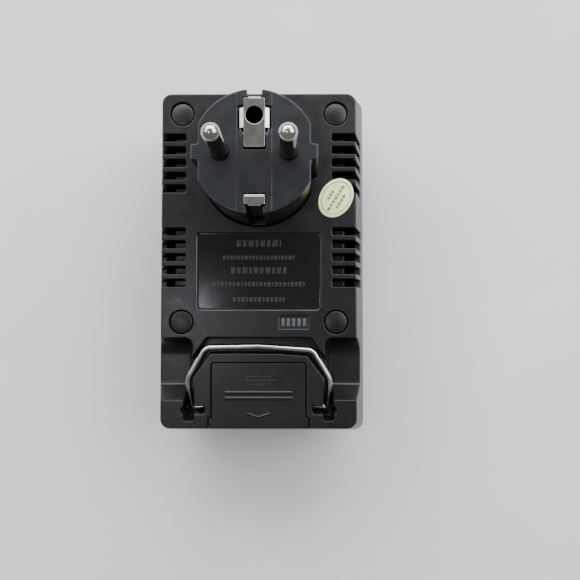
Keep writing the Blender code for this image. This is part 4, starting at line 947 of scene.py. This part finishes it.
# ---- plug
def plug():
    seat_z = CLIP_TOP_Z - CLIP_THICK - GAP
    above = PLUG_TOP_Z + 0.003
    half_x = CLIP_HALF_X + GAP
    edge = PLUG_RADIUS - PLUG_ROUND
    solid = plug_outline("tool_plug", 0.0, PLUG_FLANGE_LOW_Z + 0.0005, PLUG_TOP_Z + 0.001)
    rim = [(edge + PLUG_ROUND * math.sin(a), PLUG_TOP_Z - PLUG_ROUND + PLUG_ROUND * math.cos(a))
           for a in arc(90, 6, 6)]
    combine(solid, "INTERSECT", turned("tool_crown", [
        (0.0, PLUG_TOP_Z), *rim, (PLUG_SKIRT_RADIUS, PLUG_TOP_Z - 0.0012), (PLUG_SKIRT_RADIUS, PLUG_SKIRT_Z),
        (0.0, PLUG_SKIRT_Z)], (0, PLUG_Y), 160))
    join(solid, cylinder("tool_flange", PLUG_FLANGE_RADIUS, (0, PLUG_Y), PLUG_FLANGE_LOW_Z,
                         FACE_Z - FACE_THICK - GAP, 160))
    low, top = WING_Y[0] - GAP, WING_Y[1] + GAP
    seat = mirrored([(half_x, CLIP_TOP_Y[0] - GAP), (half_x, low - 0.0002), (WING_HALF_X + GAP, low),
                     (WING_HALF_X + GAP, top), (half_x, top + 0.0002), (half_x, CLIP_TOP_Y[1] + GAP)])
    reach = SLEEVE_THICK / 2 + GAP
    cut(solid, prism("tool_seat", seat, seat_z, above),
        wide("tool_pocket", half_x, (CLIP_TOP_Y[0] - 0.0011, CLIP_TOP_Y[0] + 0.0005),
             (POCKET_FLOOR_Z, above)),
        wide("tool_notch", NOTCH_TOP_HALF_X, (NOTCH_TOP_Y - CLIP_THICK - GAP, 0.050), (FACE_Z, above)),
        wide("tool_seat_low", half_x, (NOTCH_LOW_Y - GAP, CLIP_LOW_Y[1] + GAP), (seat_z, above)),
        wide("tool_pocket_low", half_x, (CLIP_LOW_Y[1] - 0.0005, CLIP_LOW_Y[1] + 0.0008),
             (POCKET_FLOOR_Z, above)),
        wide("tool_notch_low", NOTCH_LOW_HALF_X, (0.005, NOTCH_LOW_Y + CLIP_THICK + GAP), (FACE_Z, above)),
        wide("tool_sleeve_pocket", SLEEVE_HALF_X + reach,
             (SLEEVE_LOW_Y - reach, SLEEVE_TOP_Y + SLEEVE_BEND + reach), (SLEEVE_FOOT_Z - GAP, above),
             SLEEVE_BEND + reach),
        cylinder("tool_earth_bore", EARTH_RADIUS + GAP, (0, EARTH_Y), EARTH_BORE_LOW_Z, above))
    for side in (-1, 1):
        band = on_side(side, PLUG_BAND[0], 0.030)
        cut(solid, cylinder("tool_pin_bore", PIN_RADIUS + 0.00003, (side * PIN_X, PLUG_Y), PIN_BORE_LOW_Z,
                            above),
            box("tool_band", (band[0], 0.0, PLUG_TOP_Z - PLUG_BAND[1]), (band[1], 0.06, above)))
    finish_piece(moulded("plug_moulding", solid, FINER * 1.25, 0.22, (PLUG_TOP_Z,)), "plug_plastic", "case",
                 "plug_body")


def pins():
    neck_radius, *neck_z = PIN_NECK
    for name, side in (("left", -1), ("right", 1)):
        cap = dome(PIN_RADIUS - PIN_EDGE * 0.5, PIN_TOP_Z, PIN_DOME, 14)
        rim_z = cap[-1][1]
        profile = [*cap, (PIN_RADIUS - PIN_EDGE * 0.15, rim_z - PIN_EDGE * 0.4),
                   (PIN_RADIUS, rim_z - PIN_EDGE), (PIN_RADIUS, neck_z[1]), (neck_radius, neck_z[0]),
                   (neck_radius, PIN_TAIL_Z), (0.0, PIN_TAIL_Z)]
        finish_piece(turned(f"contact_pin_{name}", profile, (side * PIN_X, PLUG_Y)), "nickel", "case",
                     f"line_pin_{name}", material=PIN_METAL)


def strip(name, points, bend, thickness, ends, axis, steps=8):
    """A flat strip bent along a path and drawn out along one axis."""
    path = rounded_outline(points, bend, steps, closed=False)
    return prism(name, strip_outline(path, thickness), *ends, axis)


def bent_wing(side):
    """A wing of the upper clip: it leaves the plate level and curls down into the plug."""
    edge = WING_HALF_X - CLIP_THICK * 0.4
    top = CLIP_TOP_Z - CLIP_THICK / 2 - 0.00006
    points = ((top, CLIP_HALF_X - 0.0006), (top, CLIP_HALF_X - 0.0001), (top - 0.0005, edge),
              (WING_FOOT_Z, edge))
    return strip("tool_wing", [(z, side * x) for z, x in points], 0.0003, CLIP_THICK * 0.8, WING_Y, "Y")


def clip_ends(dive_y, tab_start, tab_y, tab_half):
    """The inner end of a clip that dives into the plug and its tab over the rim."""
    tab_z = CLIP_TOP_Z - CLIP_THICK / 2 - CLIP_SHY
    return (wide("tool_dive", CLIP_HALF_X - CLIP_SHY, (dive_y, dive_y + 0.0008),
                 (CLIP_DIVE_Z, CLIP_TOP_Z - CLIP_SHY)),
            strip("tool_tab", [(tab_start, tab_z), (tab_y, tab_z), (tab_y, CLIP_FOOT_Z)], 0.0007,
                  CLIP_THICK, (-tab_half, tab_half), "X"))


def earth_clips():
    level = (CLIP_TOP_Z - CLIP_THICK, CLIP_TOP_Z)
    half = CLIP_THICK / 2
    upper = wide("tool_clip_top", CLIP_HALF_X, CLIP_TOP_Y, level)
    join(upper, *clip_ends(CLIP_TOP_Y[0] - 0.0004, CLIP_TOP_Y[1] - 0.0014, NOTCH_TOP_Y - half,
                           TAB_TOP_HALF_X), bent_wing(-1), bent_wing(1))
    cut(upper, cylinder("tool_hole", EARTH_RADIUS, (0, EARTH_Y), 0.060, 0.075))
    rim = [(EARTH_RADIUS + 0.00020 + EARTH_RIM * math.cos(a),
            CLIP_TOP_Z - 0.00014 + EARTH_RIM * 0.6 * math.sin(a)) for a in arc(360, 16, 16)]
    join(upper, turned("tool_rim", rim, (0, EARTH_Y), 72, closed=True))
    lower = wide("tool_clip_low", CLIP_HALF_X, CLIP_LOW_Y, level)
    join(lower, *clip_ends(CLIP_LOW_Y[1] - 0.0003, CLIP_LOW_Y[0] + 0.0010, NOTCH_LOW_Y + half,
                           TAB_LOW_HALF_X))
    for name, plate, node in (("upper", upper, "top"), ("lower", lower, "low")):
        finish_piece(moulded(f"earth_clip_{name}", plate, CLIP_VOXEL, 0.25), "nickel", "case",
                     f"earth_clip_{node}")


def sleeve():
    piece = strip("earth_sleeve", [(-SLEEVE_HALF_X, SLEEVE_TOP_Y), (-SLEEVE_HALF_X, SLEEVE_LOW_Y),
                                   (SLEEVE_HALF_X, SLEEVE_LOW_Y), (SLEEVE_HALF_X, SLEEVE_TOP_Y)],
                  SLEEVE_BEND, SLEEVE_THICK, (SLEEVE_FOOT_Z, SLEEVE_TOP_Z), "Z", 12)
    bevel = piece.modifiers.new("edges", "BEVEL")
    bevel.width = 0.00012
    bevel.segments = 2
    bevel.limit_method = "ANGLE"
    bevel.angle_limit = math.radians(40)
    bevel.harden_normals = True
    finish_piece(piece, "nickel", "case", "earth_socket")


# ---- bail
def bail():
    left = [(-x, y, z) for x, y, z in BAIL_ARM]
    path = rounded_path([*left, BAIL_CORNERS[0], BAIL_BAR, BAIL_CORNERS[1], *BAIL_ARM[::-1]],
                        [*BAIL_BENDS, BAIL_BAR_BEND, *BAIL_BENDS[::-1]], 14)
    finish_piece(tube("bail_wire", path, BAIL_RADIUS, 8), "bail_steel", "bail", "bail_stand")


# ---- fuse door
def fuse_door():
    low_z = DOOR_TOP_Z - DOOR_THICK
    root_z = DOOR_TOP_Z - 0.0003
    end_y = DOOR_SKIRT_Y + DOOR_FOOT
    rim_y = wall_half(DOOR_TOP_Z, FACE_HALF_Y)
    foot_y = wall_half(DOOR_SKIRT_Z, FACE_HALF_Y)
    door = prism("tool_door", door_outline(0.0, end_y), low_z, DOOR_TOP_Z)
    rim = [(-rim_y + RIM - RIM * math.sin(a), DOOR_TOP_Z - RIM + RIM * math.cos(a)) for a in arc(76, 6, 7)]
    skirt = [(DOOR_STEP_Y, low_z + OFF_PLANE), (DOOR_STEP_Y, DOOR_TOP_Z), *rim,
             (-foot_y + 0.0001, DOOR_SKIRT_Z), (DOOR_SKIRT_Y, DOOR_SKIRT_Z),
             (DOOR_SKIRT_Y, low_z + OFF_PLANE)]
    join(door, prism("tool_skirt", skirt, -DOOR_STEP_HALF_X, DOOR_STEP_HALF_X, "X"),
         wide("tool_rails", DOOR_STEP_HALF_X, (end_y, DOOR_TOP_Y - 0.0015),
              (low_z + 2 * OFF_PLANE, low_z + DOOR_RAIL_HIGH)))
    for y in RIB_YS:
        join(door, wide("tool_rib", RIBS[0], (y - RIBS[1], y + RIBS[1]), (root_z, DOOR_TOP_Z + RIBS[2])))
    join(door, prism("tool_arrow", mirrored(ARROW), root_z, DOOR_TOP_Z + SIGN_HIGH))
    finish_piece(moulded("fuse_drawer", door, FINER, 0.25, (DOOR_TOP_Z,)), "case_plastic", "fuse_drawer",
                 "fuse_door")


def fuse_symbol():
    """The plain circuit sign of a fuse, raised on the door: a box with a line through it."""
    (half_x, half_y, lead), y, line = SIGN, SIGN_Y, SIGN_LINE
    places = [(-half_x, y + half_y - line, half_x, y + half_y + line),
              (-half_x, y - half_y - line, half_x, y - half_y + line),
              (-half_x - line, y - half_y, -half_x + line, y + half_y),
              (half_x - line, y - half_y, half_x + line, y + half_y),
              (-half_x - lead, y - line, half_x + lead, y + line)]
    finish_piece(bars("fuse_sign", places, DOOR_TOP_Z, SIGN_HIGH), "case_plastic", "fuse_drawer",
                 material=MARKS_PAINTED_SHEEN)


# ---- outlet
def outlet():
    base_z = low("outlet_body").z
    room_z, room_top_z = OUTLET_ROOM_Z
    flange_half_x, flange_half_y, flange_z = OUTLET_FLANGE
    body = wide("tool_outlet", OUTLET_HALF_X, (OUTLET.y - OUTLET_HALF_Y, OUTLET.y + OUTLET_HALF_Y),
                (base_z, high("outlet_body").z), OUTLET_CORNER)
    join(body, wide("tool_outlet_flange", flange_half_x, (OUTLET.y - flange_half_y, OUTLET.y + flange_half_y),
                    (FACE_THICK + GAP, flange_z), 0.002))
    slot, mouth, room = (OUTLET_OUT_Z, room_top_z), (OUTLET_OUT_Z, base_z + MOUTH), (room_z, room_top_z)
    for x, half_y in ((-BLADE_X, BLADE_HALF_Y), (BLADE_X, WIDE_BLADE_HALF_Y)):
        for half_x, reach, levels in ((BLADE_SLOT_HALF_X, half_y, slot),
                                      (BLADE_SLOT_HALF_X + MOUTH, half_y + MOUTH, mouth),
                                      (*BLADE_ROOM, room)):
            cut(body, wide("tool_blade", half_x, (BLADE_Y - reach, BLADE_Y + reach), levels, x=x))
    for radius, levels in zip(OUTLET_EARTH_RADII, (slot, mouth, room)):
        cut(body, cylinder("tool_earth", radius, (0, OUTLET_EARTH_Y), *levels))
    finish_piece(moulded("outlet_insert", body, FINER * 1.3, 0.22), "plug_plastic", "case", "outlet_body")


# ---- sticker
def sticker_point(u, v):
    return (STICKER.x + u * math.cos(STICKER_LEAN) - v * math.sin(STICKER_LEAN),
            STICKER.y + u * math.sin(STICKER_LEAN) + v * math.cos(STICKER_LEAN))


def sticker():
    """Oval label; it sinks a little over the vent slot that it crosses."""
    bm = bmesh.new()
    rings, spokes = 22, 96
    slot_low = VENT_TOPS[0] - (VENT_COUNT - 1) * VENT_PITCH - VENT_HIGH

    def vertex(u, v):
        x, y = sticker_point(u, v)
        across = (y - slot_low) / VENT_HIGH
        sag = STICKER_SAG * math.sin(math.pi * across) if 0 < across < 1 and x > VENT_INNER_X else 0.0
        return bm.verts.new((x, y, FACE_Z + STICKER_LIFT - sag))

    turns = [2 * math.pi * spoke / spokes for spoke in range(spokes)]
    loops = [[vertex(STICKER_LONG * ring / rings * math.cos(a), STICKER_SHORT * ring / rings * math.sin(a))
              for a in turns] for ring in range(1, rings + 1)]
    hub = vertex(0, 0)
    for i in range(spokes):
        j = (i + 1) % spokes
        bm.faces.new((hub, loops[0][i], loops[0][j]))
        for inner, outer in zip(loops, loops[1:]):
            bm.faces.new((inner[i], outer[i], outer[j], inner[j]))
    paper = put("inspection_label", mesh_from(bm, "inspection_label"))
    thick = paper.modifiers.new("thick", "SOLIDIFY")
    thick.thickness = STICKER_THICK
    thick.offset = 1.0
    finish_piece(paper, "label_paper", "case", "inspection_sticker")


def sticker_marks():
    """Plain printed dashes in three rows, in place of the words on the label."""
    bm = bmesh.new()
    top = FACE_Z + STICKER_LIFT + STICKER_THICK + 0.00001
    for v, half_u, lengths in STICKER_ROWS:
        for u0, v0, u1, v1 in dashes(half_u, v, 0.00085, 0.0003, 0.00035, lengths):
            corners = [(u0, v0), (u1, v0), (u1, v1), (u0, v1)]
            face = bm.faces.new([bm.verts.new((*sticker_point(u, -w), top)) for u, w in corners])
            lifted = bmesh.ops.extrude_face_region(bm, geom=[face])["geom"]
            bmesh.ops.translate(bm, vec=(0, 0, 0.00003),
                                verts=[g for g in lifted if isinstance(g, bmesh.types.BMVert)])
    finish_piece(put("label_print", mesh_from(bm, "label_print")), "label_paper", "case", material=GREEN_INK)


# ---- carried-over nodes
def dress_frame():
    """Every node that stays gets its slot's material."""
    slots = {part["node"]: part["material_slot"] for part in frame["record"]["subparts"]}
    for name, obj in frame["nodes"].items():
        obj.data.materials.clear()
        obj.data.materials.append(MATERIALS[slots[name]])


# ---- stage, lights and camera
def stage():
    mesh = bpy.data.meshes.new("floor")
    corners = ((-1, -1), (1, -1), (1, 1), (-1, 1))
    mesh.from_pydata([(x * FLOOR_REACH, y * FLOOR_REACH, FLOOR_Z) for x, y in corners], [], [(0, 1, 2, 3)])
    floor = put("floor", mesh)
    floor.data.materials.append(mottled("floor", (0.66, 0.66, 0.65), (0.72, 0.72, 0.71), (14, 4),
                                        (90, 2), (0.80, 0.92), (900, 3, 0.2, 0.0002)).material)


def area_light(name, place, target, size, power, colour=(1.0, 1.0, 1.0)):
    data = bpy.data.lights.new(name, "AREA")
    data.shape = "RECTANGLE"
    data.size, data.size_y = size
    data.energy = power
    data.color = colour
    obj = put(name, data)
    obj.location = place
    obj.rotation_euler = (Vector(target) - Vector(place)).to_track_quat("-Z", "Y").to_euler()


def lights():
    world = bpy.data.worlds.new("studio")
    bpy.context.scene.world = world
    world.use_nodes = True
    background = world.node_tree.nodes["Background"].inputs
    background["Color"].default_value = (0.92, 0.95, 1.0, 1)
    background["Strength"].default_value = 0.26
    centre = (0, 0, 0.03)
    area_light("window", (-0.05, 1.05, 0.80), centre, (1.8, 0.8), 36)
    area_light("side_right", (0.80, 0.35, 0.95), centre, (0.8, 0.8), 13, (1.0, 0.99, 0.97))
    area_light("side_left", (-0.95, 0.50, 0.90), centre, (0.9, 0.8), 7, (0.97, 0.99, 1.0))
    area_light("lamp", (-0.200, -0.045, 0.80), centre, (0.070, 0.085), 0.58, (1.0, 0.90, 1.0))


def camera():
    data = bpy.data.cameras.new("camera")
    data.sensor_width = 36.0
    data.lens = 32.07
    obj = put("camera", data)
    obj.location = (0.01064, -0.0141, 0.210)
    obj.rotation_euler = (math.radians(1.67), math.radians(0.33), 0.0)
    bpy.context.scene.camera = obj


camera()
lights()
stage()
dress_frame()
rear_case()
front_case()
panel_marks()
number_marks()
screw_caps()
plug()
pins()
earth_clips()
sleeve()
bail()
fuse_door()
fuse_symbol()
outlet()
sticker()
sticker_marks()
clear_tools()
